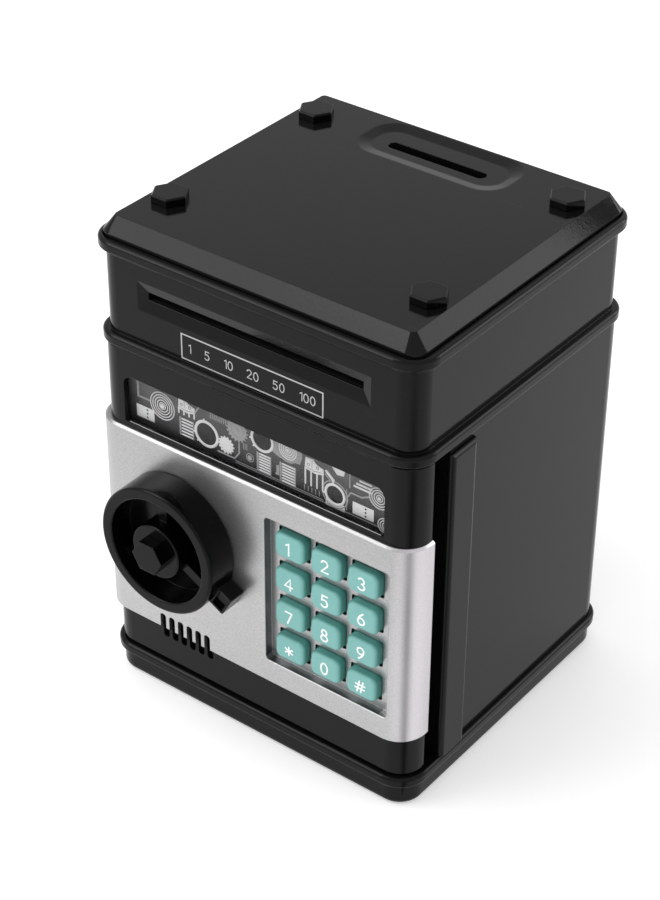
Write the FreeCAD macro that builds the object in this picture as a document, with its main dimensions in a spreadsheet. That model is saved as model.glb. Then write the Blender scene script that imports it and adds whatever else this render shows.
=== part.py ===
import FreeCAD, Part
import math
import os
import re
import Sketcher

# Toy cash safe with a note feeder: a coin bank shaped like a small cash machine.
# +Z is up, the door faces -Y and its hinge is on the +X side. The origin is the
# middle of the base's underside. All sizes are millimetres.

os.makedirs("parts", exist_ok=True)
Vector = FreeCAD.Vector
doc = FreeCAD.newDocument("toy_cash_safe")
dims = doc.addObject("Spreadsheet::Sheet", "dims")

SIZES = {
    "allowances": {"over": 1.0, "weld": 0.1},
    "case": {
        "case_half_x": 65.2, "case_half_y": 60.6, "corner_r": 9, "wall": 2.2, "base_low": -2.6,
        "base_top": 10.2, "base_floor": 1.0, "base_proud": 1.75, "plinth_round": 2.2, "bead": 4.0,
        "bead_round": 1.3, "bead_soft": 0.8, "case_top": 136.6, "head_inset": 1.3, "head_wall": 1.8,
        "bead_proud": 2.5, "head_top": 175.3, "rim_step": 0.9, "rim_step_tall": 1.2,
    },
    "top cover": {
        "cover_gap": 0.4, "cover_seat": 173.7, "cover_shoulder": 176.5, "cover_top": 182.0,
        "slope_x": 4.2, "slope_y": 3.6, "plate_r": 1.5, "cover_r": 5.0, "coin_y": 42.1,
        "recess_long": 30.0, "recess_wide": 12.4, "recess_r": 9.5, "recess_deep": 0.95,
        "dish_long": 26.2, "dish_wide": 8.0, "dish_r": 7.0, "recess_soft": 3.0, "tray_rim": 1.5,
        "tray_depth": 1.2, "coin_half": 19.7, "coin_gap": 4.5, "slot_end_flat": 0.05,
        "bolt_x": 51.35, "bolt_front": -36.6, "bolt_back": 40.7, "bolt_hex": 6.55, "bolt_head": 3.0,
        "bolt_bevel": 0.45, "bolt_shank": 2.0, "bolt_reach": 6.0,
    },
    "note slot": {
        "slot_half": 43.1, "slot_low": 157.2, "slot_high": 160.0, "funnel_half": 46.8,
        "funnel_low": 152.9, "funnel_high": 163.7, "funnel_deep": 1.3,
    },
    "body front": {
        "frame_front": -49.9, "frame_wall": 2.4, "jamb_x": 50.0, "jamb_y": -42.6, "mouth_left": -56.0,
        "mouth_right": 46.5, "mouth_low": 24.0, "mouth_high": 123.0, "mouth_r": 3.0, "floor_low": 21.5,
        "floor_high": 23.5, "boss_x": 57.5, "boss_half": 4.0, "boss_back": 46.0, "boss_front": -34.0,
        "boss_tall": 12.0, "boss_cap": 2.0, "screw_r": 1.5, "screw_fit": 0.1, "pilot_r": 1.2,
        "screw_head_tall": 1.8, "strip_front": -43.2, "strip_back": -29.5, "strip_proud": 2.0,
        "strip_top": 134.5, "strip_round": 1.8, "keeper_gap": 0.4, "keeper_thick": 0.9,
        "keeper_below": 4.0, "keeper_above": 14.0,
    },
    "door": {
        "door_low": 11.0, "door_high": 135.8, "door_back": -50.5, "door_soft": 0.5, "panel_thick": 1.56,
        "panel_left": 2.3, "panel_right": 0.9, "panel_low": 25.9, "panel_high": 105.8,
        "panel_back": -50.1, "panel_bevel": 0.8, "hinge_x": 60.0, "hinge_y": -50.6, "pin_r": 1.5,
        "pin_fit": 0.05, "pin_end_gap": 0.2, "lug_r": 4.2, "socket_r": 3.6, "lug_tall": 4.0,
        "pin_seat": 7.0, "lid_front": -51.9, "lid_wall": 1.5, "lid_right": 54.0, "lid_gap": 0.4,
        "lid_r": 1.0, "vent_x": -29.5, "vent_pitch": 4.0, "vent_half": 1.3, "vent_end_r": 1.2,
        "vent_low": 21.3, "vent_high": 32.6, "window_half": 53.8, "window_low": 107.5,
        "window_high": 126.0, "window_r": 4.0, "window_low_r": 0.5, "lens_fit": 0.1, "lens_inset": 0.5,
        "lens_lip": 1.4, "lens_flange": 1.0, "print_gap": 0.5, "print_thick": 1.0, "ear_x": 58.5,
        "ear_inset": 3.5, "lid_screw_low": 18.5, "lid_screw_mid": 101.3, "lid_screw_high": 130.2,
        "lid_boss_r": 2.8, "lid_screw_head": 0.3, "lid_screw_long": 5.0,
    },
    "keypad": {
        "pan_left": 6.8, "pan_right": 57.2, "pan_low": 35.8, "pan_high": 95.4, "pan_deep": 3.4,
        "pan_wall": 1.2, "pan_r": 1.5, "pan_soft": 0.4, "key_x": 17.0, "key_z": 44.4,
        "key_pitch_x": 14.9, "key_pitch_z": 14.2, "key_half_x": 6.15, "key_half_z": 4.9, "key_r": 2.6,
        "key_dome": 1.7, "hole_half_x": 6.45, "hole_half_z": 5.15, "hole_r": 0.8, "key_face": -62.4,
        "key_skirt": -57.3, "key_back": -56.3, "skirt_half_x": 7.1, "skirt_half_z": 5.8, "skirt_r": 1.0,
        "dome_tip": -54.9, "mat_face": -53.9, "mat_back": -53.1, "dome_r": 3.0, "dome_tip_r": 2.0,
        "dome_flat": 0.2, "mat_margin": 1.6, "mat_right_gap": 0.4, "mat_r": 2.0, "board_thick": 1.0,
        "board_right_gap": 3.0, "socket_wide": 3.0, "socket_low": 20.0, "socket_high": 34.0,
    },
    "knob and lock": {
        "knob_x": -30.3, "knob_z": 71.3, "knob_turn": 29.0, "knob_r": 24.2, "knob_bowl": 19.8,
        "knob_face": 12.4, "knob_back": 0.5, "knob_floor": 2.8, "knob_round": 1.0, "knob_soft": 0.6,
        "hub_r": 10.2, "spoke_half": 1.9, "spoke_drop": 4.6, "tab_end": 30.0, "tab_half": 4.4,
        "tab_face": 7.0, "tab_round": 0.8, "tab_rim": 0.9, "tab_deep": 1.5, "tab_start": 24.6,
        "nut_hex": 6.4, "nut_proud": 4.5, "neck_r": 3.5, "shaft_r": 4.0, "shaft_fit": 0.06,
        "panel_hole_gap": 0.4, "journal_r": 3.0, "bearing_r": 7.0, "bearing_back": -52.4,
        "lock_teeth": 12, "lock_module": 1.0, "lock_front": -47.0, "lock_back": -41.0,
        "pod_left": -54.0, "pod_right": 0.5, "pod_low": 54.0, "pod_high": 90.0, "pod_back": -37.0,
        "pod_wall": 1.5, "pod_r": 2.0, "pod_inner_r": 0.5, "shaft_end_gap": 0.2, "latch_tip": -54.5,
        "latch_tail": -2.5, "latch_low": 57.8, "latch_slant": 2.5, "latch_front": -46.0,
        "latch_back": -42.0, "latch_fit": 0.3, "detent_x": -14.0, "detent_half": 2.2,
        "detent_deep": 3.1, "knob_travel": 70.0, "plunger_r": 2.0, "plunger_lift": 0.5,
        "plunger_fit": 0.08, "plunger_long": 17.0, "coil_low": 68.5, "coil_high": 84.0,
        "coil_half": 5.6, "coil_plate": 1.0, "coil_r": 4.1, "coil_side": 2.8, "speaker_z": 27.6,
        "speaker_r": 12.6, "speaker_rim": 1.6, "speaker_cone": 1.8, "speaker_lip": 2.0,
        "speaker_mouth": 1.2, "speaker_magnet_r": 7.5, "speaker_back": -53.2,
    },
    "feeder": {
        "deck_thick": 2.0, "deck_gap": 0.3, "drop_half": 40.0, "drop_front": -2.0, "drop_back": 31.8,
        "drop_r": 2.0, "chute_half": 22.5, "chute_wall": 2.0, "chute_y": 40.4, "chute_depth": 4.2,
        "chute_fit": 0.1, "bracket_x": 44.5, "bracket_thick": 2.0, "bracket_front": -54.0,
        "bracket_left_back": -33.0, "bracket_right_back": -3.0, "bracket_top": 171.0, "bracket_r": 2.0,
        "roller_y": -44.0, "roller_r": 6.0, "roller_nip": 0.05, "roller_x": 18.0, "roller_half": 4.0,
        "axle_r": 2.0, "axle_fit": 0.05, "idler_axle_r": 1.5, "note_z": 158.6, "guide_gap": 1.4,
        "guide_thick": 1.2, "guide_front": -57.3, "window_y": 7.2, "window_x": 5.2, "guide_r": 0.6,
        "curve_r": 19.0, "curve_back": 33.2, "curve_end": 139.6, "gear_module": 0.7,
        "wheel_teeth": 36, "small_teeth": 12, "pinion_teeth": 10, "wheel_left": 47.4,
        "wheel_wide": 3.6, "wheel_thin": 3.0, "idler_gap": 0.8, "pinion_lead": 0.2, "motor_y": -16.0,
        "motor_z": 147.4, "motor_r": 10.0, "motor_flat": 7.5, "motor_long": 25.0,
        "motor_axle_r": 1.0, "motor_boss_r": 3.0, "mesh_slack": 0.12, "sensor_y": -52.0,
        "sensor_half_x": 4.0, "sensor_front": 3.0, "sensor_behind": 1.5, "sensor_tall": 6.0,
        "control_x": -60.6, "control_thick": 1.6, "control_front": -25.0, "control_back": 35.0,
        "control_low": 142.0, "control_high": 168.0,
    },
    "battery bay": {
        "bay_y": 30.0, "bay_half_x": 29.0, "bay_half_y": 23.2, "bay_top": 15.4, "bay_wall": 2.0,
        "bay_r": 1.0, "hatch_half_x": 36.0, "hatch_half_y": 25.0, "hatch_gap": 0.3, "hatch_low": -2.3,
        "hatch_high": -0.5, "hatch_r": 1.7, "hatch_screw_x": -33.4, "hatch_boss_r": 2.8,
        "hatch_boss_tall": 6.0, "hatch_screw_r": 1.2, "hatch_head_r": 2.1, "hatch_head": 0.7,
        "hatch_head_sink": 0.1, "grip_pitch": 3.2, "grip_half_x": 11.0, "grip_half_y": 0.7,
        "grip_deep": 0.6, "cell_r": 7.25, "cell_long": 49.5, "cell_pitch": 15.2, "cell_z": 7.5,
        "nub_r": 2.75, "nub_long": 1.0, "contact_half": 5.0, "contact_thick": 0.4,
    },
}

ALIASES = set()


def fill_sheet():
    """Writes every driving size into the sheet, one alias to a row."""
    row = 1
    for section, sizes in SIZES.items():
        dims.set(f"A{row}", section)
        row += 1
        for alias, size in sizes.items():
            dims.set(f"A{row}", alias)
            dims.set(f"B{row}", str(size))
            dims.setAlias(f"B{row}", alias)
            ALIASES.add(alias)
            row += 1
    doc.recompute()


def cells(expression):
    """The expression with each alias written as a reference to the sheet."""
    def as_reference(word):
        return f"dims.{word[0]}" if word[0] in ALIASES else word[0]

    return re.sub(r"[a-z_]+", as_reference, str(expression))


def size(expression):
    """The value of an expression, for geometry that is worked out in code."""
    return float(dims.evalExpression(cells(expression)))


def bind(item, path, expression):
    item.setExpression(path, cells(expression))


# ---------------------------------------------------------------- sketches and features

def rect(x_low, x_high, y_low, y_high, radius="0"):
    """Corners of a rectangle, anticlockwise; every corner is (x, y, radius)."""
    turns = ((x_low, y_low), (x_high, y_low), (x_high, y_high), (x_low, y_high))
    return [(x, y, radius) for x, y in turns]


def centred(x, y, half_x, half_y, radius="0"):
    spans = [f"({middle}) {sign} ({half})" for middle, half in ((x, half_x), (y, half_y)) for sign in "-+"]
    return rect(*spans, radius)


def draw_circle(sketch, x, y, radius):
    index = sketch.addGeometry(Part.Circle(Vector(size(x), size(y), 0), Vector(0, 0, 1), size(radius)))
    centre = (-1, 1, index, 3)
    sizes = (("DistanceX", centre, x), ("DistanceY", centre, y), ("Radius", (index,), radius))
    for kind, place, expression in sizes:
        constraint = sketch.addConstraint(Sketcher.Constraint(kind, *place, size(expression)))
        bind(sketch, f"Constraints[{constraint}]", expression)


def draw_corners(sketch, corners):
    """Closed outline of lines, with an arc at each corner whose radius isn't 0."""
    count = len(corners)
    points = [Vector(size(x), size(y), 0) for x, y, radius in corners]
    radii = [size(radius) for x, y, radius in corners]
    starts = []
    ends = []
    arcs = {}
    for i, point in enumerate(points):
        before = (point - points[i - 1]).normalize()
        after = (points[(i + 1) % count] - point).normalize()
        reach = radii[i] * math.tan(before.getAngle(after) / 2)
        ends.append(point - before * reach)
        starts.append(point + after * reach)
        if radii[i] > 0:
            turn = 1 if before.cross(after).z > 0 else -1
            centre = ends[i] + Vector(-before.y, before.x, 0) * turn * radii[i]
            first, last = (ends[i], starts[i]) if turn > 0 else (starts[i], ends[i])
            circle = Part.Circle(centre, Vector(0, 0, 1), radii[i])
            arcs[i] = (Part.ArcOfCircle(circle, circle.parameter(first), circle.parameter(last)), turn)
    lines = [Part.LineSegment(starts[i], ends[(i + 1) % count]) for i in range(count)]
    first_line = sketch.addGeometry(lines)[0]
    constraints = []
    sized = []

    def along(i, axis):
        step = points[(i + 1) % count] - points[i]
        return abs(step.y) < 1e-6 if axis == "x" else abs(step.x) < 1e-6

    for i in range(count):
        line = first_line + i
        if along(i, "x"):
            constraints.append(Sketcher.Constraint("Horizontal", line))
            sized.append(("DistanceY", (-1, 1, line, 1), corners[i][1]))
        elif along(i, "y"):
            constraints.append(Sketcher.Constraint("Vertical", line))
            sized.append(("DistanceX", (-1, 1, line, 1), corners[i][0]))
    for i in range(count):
        line = first_line + i
        previous = first_line + (i - 1) % count
        if i in arcs:
            arc, turn = arcs[i]
            index = sketch.addGeometry(arc)
            entry, leaving = (1, 2) if turn > 0 else (2, 1)
            constraints.append(Sketcher.Constraint("Tangent", previous, 2, index, entry))
            constraints.append(Sketcher.Constraint("Tangent", index, leaving, line, 1))
            sized.append(("Radius", (index,), corners[i][2]))
            continue
        constraints.append(Sketcher.Constraint("Coincident", previous, 2, line, 1))
        neighbours = ((i - 1) % count, i)
        if not any(along(n, "y") for n in neighbours):
            sized.append(("DistanceX", (-1, 1, line, 1), corners[i][0]))
        if not any(along(n, "x") for n in neighbours):
            sized.append(("DistanceY", (-1, 1, line, 1), corners[i][1]))
    sketch.addConstraint(constraints)
    for kind, place, expression in sized:
        constraint = sketch.addConstraint(Sketcher.Constraint(kind, *place, size(expression)))
        bind(sketch, f"Constraints[{constraint}]", expression)


def new_body(name):
    body = doc.addObject("PartDesign::Body", name)
    body.Label = name
    return body


def sketch_on(body, plane, level, outlines):
    """A sketch on one of the body's origin planes, at a level along that plane's axis."""
    sketch = body.newObject("Sketcher::SketchObject", f"{body.Name}_sketch")
    support = next(item for item in body.Origin.OriginFeatures if item.Role == f"{plane}_Plane")
    sketch.AttachmentSupport = (support, "")
    sketch.MapMode = "FlatFace"
    side = "-1" if plane == "XZ" else "1"
    bind(sketch, "AttachmentOffset.Base.z", f"{side} * ({level})")
    for outline in outlines:
        if isinstance(outline, tuple):
            draw_circle(sketch, *outline)
        else:
            draw_corners(sketch, outline)
    return sketch


def pad(body, plane, low, high, *outlines):
    """Adds the outlines, filled from low to high along the plane's axis."""
    sketch = sketch_on(body, plane, high if plane == "XZ" else low, outlines)
    feature = body.newObject("PartDesign::Pad", f"{body.Name}_pad")
    feature.Profile = sketch
    bind(feature, "Length", f"({high}) - ({low})")
    doc.recompute()
    return feature


def pocket(body, plane, low, high, *outlines):
    """Removes the outlines, from low to high along the plane's axis."""
    before = body.Shape.Volume
    sketch = sketch_on(body, plane, low if plane == "XZ" else high, outlines)
    feature = body.newObject("PartDesign::Pocket", f"{body.Name}_pocket")
    feature.Profile = sketch
    bind(feature, "Length", f"({high}) - ({low})")
    doc.recompute()
    if body.Shape.Volume > before - 1e-3:
        raise RuntimeError(f"{feature.Name} removes nothing")
    return feature


def loft(body, kind, plane, sections):
    """Adds or removes a loft through (level, outline) sections."""
    sketches = [sketch_on(body, plane, level, [outline]) for level, outline in sections]
    feature = body.newObject(f"PartDesign::{kind}Loft", f"{body.Name}_loft")
    feature.Profile = sketches[0]
    feature.Sections = sketches[1:]
    doc.recompute()
    return feature


def at_level(edge, axis, expression):
    low = getattr(edge.BoundBox, f"{axis}Min")
    high = getattr(edge.BoundBox, f"{axis}Max")
    return abs(low - size(expression)) < 1e-4 and abs(high - size(expression)) < 1e-4


def on_outline(edge, half_x, half_y, radius):
    """Whether an edge lies on the rounded rectangle about the Z axis."""
    middle = edge.valueAt((edge.FirstParameter + edge.LastParameter) / 2)
    reach_x = abs(middle.x) - size(half_x) + size(radius)
    reach_y = abs(middle.y) - size(half_y) + size(radius)
    outside = math.hypot(max(reach_x, 0), max(reach_y, 0))
    return abs(outside + min(max(reach_x, reach_y), 0) - size(radius)) < 1e-3


def dress(body, kind, amount, chosen):
    """A fillet or chamfer on the edges of the body's tip that the test accepts."""
    tip = body.Tip
    names = [f"Edge{number}" for number, edge in enumerate(tip.Shape.Edges, 1) if chosen(edge)]
    if not names:
        raise RuntimeError(f"{body.Name} has no edge to dress")
    feature = body.newObject(f"PartDesign::{kind}", f"{body.Name}_{kind.lower()}")
    feature.Base = (tip, names)
    bind(feature, "Radius" if kind == "Fillet" else "Size", amount)
    doc.recompute()
    return feature


# ---------------------------------------------------------------- primitives

PLACES = ("Placement.Base.x", "Placement.Base.y", "Placement.Base.z")
TURNS = {"x": (Vector(0, 1, 0), 90), "y": (Vector(1, 0, 0), -90), "z": (Vector(0, 0, 1), 0)}


def box(name, *spans):
    """Part::Box between the (low, high) spans along X, Y and Z."""
    item = doc.addObject("Part::Box", name)
    for path, place, (low, high) in zip(("Length", "Width", "Height"), PLACES, spans):
        bind(item, path, f"({high}) - ({low})")
        bind(item, place, low)
    return item


def turned(kind, name, axis, start, end, centre):
    """A primitive whose own Z axis is laid along an axis, from start to end."""
    item = doc.addObject(kind, name)
    item.Placement = FreeCAD.Placement(Vector(), FreeCAD.Rotation(*TURNS[axis]))
    bind(item, "Height", f"({end}) - ({start})")
    base = list(centre)
    base.insert("xyz".index(axis), start)
    for path, expression in zip(PLACES, base):
        bind(item, path, expression)
    return item


def cylinder(name, axis, start, end, centre, radius):
    item = turned("Part::Cylinder", name, axis, start, end, centre)
    bind(item, "Radius", radius)
    return item


def cone(name, axis, start, end, centre, first_radius, last_radius):
    item = turned("Part::Cone", name, axis, start, end, centre)
    bind(item, "Radius1", first_radius)
    bind(item, "Radius2", last_radius)
    return item


def hexagon(name, axis, start, end, centre, radius):
    item = turned("Part::Prism", name, axis, start, end, centre)
    item.Polygon = 6
    bind(item, "Circumradius", radius)
    return item


def joined(kind, name, items):
    item = doc.addObject(kind, name)
    setattr(item, "Links" if kind == "Part::Compound" else "Shapes", items)
    doc.recompute()
    return item


def fuse(name, *items):
    return joined("Part::MultiFuse", name, list(items))


def group(name, items):
    """Separate solids of one node."""
    return joined("Part::Compound", name, list(items))


def cut(name, base, *tools):
    item = doc.addObject("Part::Cut", name)
    item.Base = base
    item.Tool = tools[0] if len(tools) == 1 else fuse(f"{name}_tools", *tools)
    doc.recompute()
    return item


def screw(name, axis, head_end, shoulder, tip, centre, head_radius, shank_radius):
    """A pan head from head_end to the shoulder, and a shank from there to the tip."""
    solids = []
    parts = (("head", head_end, shoulder, head_radius), ("shank", shoulder, tip, shank_radius))
    for part, first, last, radius in parts:
        low, high = (first, last) if size(first) < size(last) else (last, first)
        solids.append(cylinder(f"{name}_{part}", axis, low, high, centre, radius))
    return fuse(name, *solids)


# ---------------------------------------------------------------- gear teeth

ADDENDUM = 0.8
DEDENDUM = 1.1
PRESSURE = math.radians(20)
TOOTH_SHARE = 0.46


def gear_shape(teeth, module, width, bore):
    """Involute spur gear about Z with a tooth centred on +X, and a round bore."""
    pitch_r = teeth * module / 2
    base_r = pitch_r * math.cos(PRESSURE)
    tip_r = pitch_r + ADDENDUM * module
    root_r = pitch_r - DEDENDUM * module
    half_tooth = TOOTH_SHARE * math.pi / teeth
    pitch_roll = math.tan(PRESSURE) - PRESSURE

    def flank(side):
        points = []
        start_r = max(base_r, root_r)
        for step in range(6):
            radius = start_r + (tip_r - start_r) * step / 5
            slope = math.acos(min(1, base_r / radius))
            angle = half_tooth + pitch_roll - (math.tan(slope) - slope)
            points.append(Vector(radius * math.cos(side * angle), radius * math.sin(side * angle), 0))
        return points

    right = flank(-1)
    left = flank(1)
    edges = []
    for tooth in range(teeth):
        turn = FreeCAD.Rotation(Vector(0, 0, 1), math.degrees(2 * math.pi * tooth / teeth))
        step = FreeCAD.Rotation(Vector(0, 0, 1), math.degrees(2 * math.pi / teeth))
        up = [turn.multVec(point) for point in right]
        down = [turn.multVec(point) for point in left]
        rising = Part.BSplineCurve()
        rising.interpolate(up)
        falling = Part.BSplineCurve()
        falling.interpolate(down[::-1])
        foot_out = down[0] * (root_r / down[0].Length)
        foot_in = up[0] * (root_r / up[0].Length)
        next_in = step.multVec(foot_in)
        tip = turn.multVec(Vector(tip_r, 0, 0))
        edges.append(Part.LineSegment(foot_in, up[0]).toShape())
        edges.append(rising.toShape())
        edges.append(Part.Arc(up[-1], tip, down[-1]).toShape())
        edges.append(falling.toShape())
        edges.append(Part.LineSegment(down[0], foot_out).toShape())
        valley = (foot_out + next_in).normalize() * root_r
        edges.append(Part.Arc(foot_out, valley, next_in).toShape())
    face = Part.Face(Part.Wire(edges))
    solid = face.extrude(Vector(0, 0, width))
    return solid.cut(Part.makeCylinder(bore, width))


def along_x(shape, x, y, z, spin):
    """Turns a gear about its axis by spin degrees, then lays the axis along X."""
    shape.rotate(Vector(), Vector(0, 0, 1), spin)
    shape.rotate(Vector(), Vector(1, 1, 1), 120)
    shape.translate(Vector(x, y, z))
    return shape


def own_shape(name, shape):
    item = doc.addObject("Part::Feature", name)
    item.Label = name
    item.Shape = shape
    return item


# ---------------------------------------------------------------- case

CASE = ("case_half_x", "case_half_y", "corner_r")
BASE_BEAD = ("case_half_x + base_proud", "case_half_y + base_proud", "corner_r + base_proud")
HEAD = ("case_half_x - head_inset", "case_half_y - head_inset", "corner_r - head_inset")
HEAD_BEAD = tuple(f"{part} + bead_proud" for part in HEAD)
DECK_TOP = "case_top + deck_thick"
BOSSES = [(side, y) for side in (-1, 1) for y in ("boss_back", "boss_front")]


def about_axis(half_x, half_y, radius):
    return centred("0", "0", half_x, half_y, radius)


def inside(outline, gap):
    return about_axis(*(f"{part} - ({gap})" for part in outline))


def round_bead(body, outline, low, high):
    """Rounds a bead's outer edges, less below than above."""
    dress(body, "Fillet", "bead_round", lambda edge: on_outline(edge, *outline) and at_level(edge, "Z", high))
    dress(body, "Fillet", "bead_soft", lambda edge: on_outline(edge, *outline) and at_level(edge, "Z", low))


def build_base_plate():
    body = new_body("base_plate")
    pad(body, "XY", "base_low", "base_top - bead", about_axis(*CASE))
    dress(body, "Fillet", "plinth_round", lambda edge: at_level(edge, "Z", "base_low"))
    pad(body, "XY", "base_top - bead", "base_top", about_axis(*BASE_BEAD))
    round_bead(body, BASE_BEAD, "base_top - bead", "base_top")
    pocket(body, "XY", "base_floor", "base_top + over", inside(CASE, "wall"))
    bay_x = "bay_half_x + bay_wall"
    bay_y = "bay_half_y + bay_wall"
    pad(body, "XY", "base_floor", "bay_top + bay_wall", centred("0", "bay_y", bay_x, bay_y, "bay_r"))
    below = "base_low - over"
    pocket(body, "XY", below, "bay_top", centred("0", "bay_y", "bay_half_x", "bay_half_y"))
    hatch = [f"hatch_half_{axis} + hatch_gap" for axis in "xy"]
    pocket(body, "XY", below, "hatch_high + hatch_head_sink",
           centred("0", "bay_y", *hatch, "hatch_r + hatch_gap"))
    boss_top = "base_floor + hatch_boss_tall"
    pad(body, "XY", "base_floor", boss_top, ("hatch_screw_x", "bay_y", "hatch_boss_r"))
    pocket(body, "XY", "hatch_high", f"{boss_top} - over", ("hatch_screw_x", "bay_y", "hatch_screw_r"))
    posts = [(f"{side} * boss_x", y, "boss_half") for side, y in BOSSES]
    pad(body, "XY", "base_floor", "base_top", *posts)
    pocket(body, "XY", below, "base_top + over", *[(x, y, "screw_r + screw_fit") for x, y, r in posts])
    pocket(body, "XY", below, "base_floor", *[(x, y, "2 * (screw_r + screw_fit)") for x, y, r in posts])
    pad(body, "XY", "base_floor", "base_top", ("hinge_x", "hinge_y", "socket_r"))
    pocket(body, "XY", "base_top - pin_seat", "base_top + over", ("hinge_x", "hinge_y", "pin_r"))


def build_body_shell():
    """Walls of the money compartment: a stepped front frame, a floor and screw bosses."""
    body = new_body("body_shell")
    pad(body, "XY", "base_top", "case_top", [
        ("-case_half_x", "frame_front", "0"), ("jamb_x", "frame_front", "0"), ("jamb_x", "jamb_y", "0"),
        ("case_half_x", "jamb_y", "0"), ("case_half_x", "case_half_y", "corner_r"),
        ("-case_half_x", "case_half_y", "corner_r")])
    inner = [
        ("-case_half_x + wall", "frame_front + frame_wall", "0"),
        ("jamb_x - wall", "frame_front + frame_wall", "0"), ("jamb_x - wall", "jamb_y + wall", "0"),
        ("case_half_x - wall", "jamb_y + wall", "0"),
        ("case_half_x - wall", "case_half_y - wall", "corner_r - wall"),
        ("-case_half_x + wall", "case_half_y - wall", "corner_r - wall")]
    pocket(body, "XY", "floor_high", "case_top + over", inner)
    pocket(body, "XY", "base_top - over", "floor_low", inner)
    pocket(body, "XZ", "frame_front - over", "frame_front + frame_wall",
           rect("mouth_left", "mouth_right", "mouth_low", "mouth_high", "mouth_r"))
    feet = []
    for side, y in BOSSES:
        inner_x = f"{side} * (boss_x - boss_half)"
        outer_x = f"{side} * (case_half_x - wall + weld)"
        x_span = (inner_x, outer_x) if side > 0 else (outer_x, inner_x)
        feet.append(rect(*x_span, f"{y} - boss_half", f"{y} + boss_half"))
    pad(body, "XY", "base_top", "floor_low + weld", *feet)
    pad(body, "XY", "case_top - boss_tall", "case_top", *feet)
    pilots = [(f"{side} * boss_x", y, "pilot_r") for side, y in BOSSES]
    pocket(body, "XY", "case_top - boss_tall + boss_cap", "case_top + over", *pilots)
    pocket(body, "XY", "base_top - over", "floor_low - over", *pilots)


def build_hinge_strip():
    body = new_body("hinge_strip")
    pad(body, "XY", "base_top", "strip_top",
        rect("case_half_x", "case_half_x + strip_proud", "strip_front", "strip_back"))
    dress(body, "Fillet", "strip_round", lambda edge: at_level(edge, "X", "case_half_x + strip_proud")
          and not at_level(edge, "Z", "base_top"))


def build_head_shell():
    body = new_body("head_shell")
    pad(body, "XY", "case_top", "head_top", about_axis(*HEAD))
    pad(body, "XY", "case_top", "case_top + bead", about_axis(*HEAD_BEAD))
    round_bead(body, HEAD_BEAD, "case_top", "case_top + bead")
    step = tuple(f"{part} + rim_step" for part in HEAD)
    pad(body, "XY", "head_top - bead - rim_step_tall", "head_top - bead", about_axis(*step))
    pad(body, "XY", "head_top - bead", "head_top", about_axis(*HEAD_BEAD))
    round_bead(body, HEAD_BEAD, "head_top - bead", "head_top")
    pocket(body, "XY", "case_top - over", "head_top + over", inside(HEAD, "head_wall"))
    pocket(body, "XY", "cover_seat", "head_top + over", about_axis(*HEAD[:2], "cover_r + cover_gap"))
    face = "-(case_half_y - head_inset)"
    loft(body, "Subtractive", "XZ", [
        (face, rect("-funnel_half", "funnel_half", "funnel_low", "funnel_high")),
        (f"{face} + funnel_deep", rect("-slot_half", "slot_half", "slot_low", "slot_high"))])
    pocket(body, "XZ", face, f"{face} + head_wall + over",
           rect("-slot_half", "slot_half", "slot_low", "slot_high"))


def build_top_cover():
    """Sloped cover with a raised plate; the coin recess is a shallow dish with soft edges."""
    body = new_body("top_cover")
    low = ("case_half_x - head_inset - cover_gap", "case_half_y - head_inset - cover_gap", "cover_r")
    high = (f"{low[0]} - slope_x", f"{low[1]} - slope_y", "plate_r")
    pad(body, "XY", "cover_seat", "cover_shoulder", about_axis(*low))
    loft(body, "Additive", "XY", [("cover_shoulder", about_axis(*low)), ("cover_top", about_axis(*high))])
    pocket(body, "XY", "cover_seat - over", "cover_shoulder", inside(low, "wall"))
    loft(body, "Subtractive", "XY", [
        ("cover_shoulder", inside(low, "wall")),
        ("cover_top - wall", about_axis(f"{high[0]} - wall", f"{high[1]} - wall", "plate_r"))])
    tray = ("recess_long + tray_rim", "recess_wide + tray_rim", "recess_r")
    pad(body, "XY", "cover_shoulder", "cover_top - tray_depth", centred("0", "coin_y", *tray))
    loft(body, "Subtractive", "XY", [
        ("cover_top", centred("0", "coin_y", "recess_long", "recess_wide", "recess_r")),
        ("cover_top - recess_deep", centred("0", "coin_y", "dish_long", "dish_wide", "dish_r"))])
    reach = size("recess_long + weld")
    floor = size("cover_top - recess_deep - weld")
    dress(body, "Fillet", "recess_soft", lambda edge: edge.BoundBox.ZMin > floor
          and edge.BoundBox.XMin > -reach and edge.BoundBox.XMax < reach
          and edge.BoundBox.YMin > 0 and edge.BoundBox.ZLength < size("weld"))
    pocket(body, "XY", "cover_shoulder - over", "cover_top",
           centred("0", "chute_y", "coin_half", "coin_gap / 2", "coin_gap / 2 - slot_end_flat"))
    holes = [(x, y, "bolt_shank + screw_fit") for x, y in bolt_places()]
    pocket(body, "XY", "cover_top - wall - over", "cover_top + over", *holes)


def bolt_places():
    return [(f"{side} * bolt_x", y) for side in (-1, 1) for y in ("bolt_front", "bolt_back")]


def hexagon_outline(x, y, radius):
    """Corners of a hexagon with one corner on +X."""
    corners = []
    for turn in range(6):
        across = math.cos(math.radians(60 * turn))
        along = math.sin(math.radians(60 * turn))
        corners.append((f"({x}) + {across:.6f} * {radius}", f"({y}) + {along:.6f} * {radius}", "0"))
    return corners


def build_cover_bolts():
    """Four hexagon bolts with a bevel round the top of each head."""
    bolts = []
    for number, (x, y) in enumerate(bolt_places()):
        body = new_body(f"cover_bolt_{number}")
        pad(body, "XY", "cover_top", "cover_top + bolt_head", hexagon_outline(x, y, "bolt_hex"))
        dress(body, "Chamfer", "bolt_bevel", lambda edge: at_level(edge, "Z", "cover_top + bolt_head"))
        pad(body, "XY", "cover_top - bolt_reach", "cover_top", (x, y, "bolt_shank"))
        bolts.append(body)
    group("cover_bolts", bolts)


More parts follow.
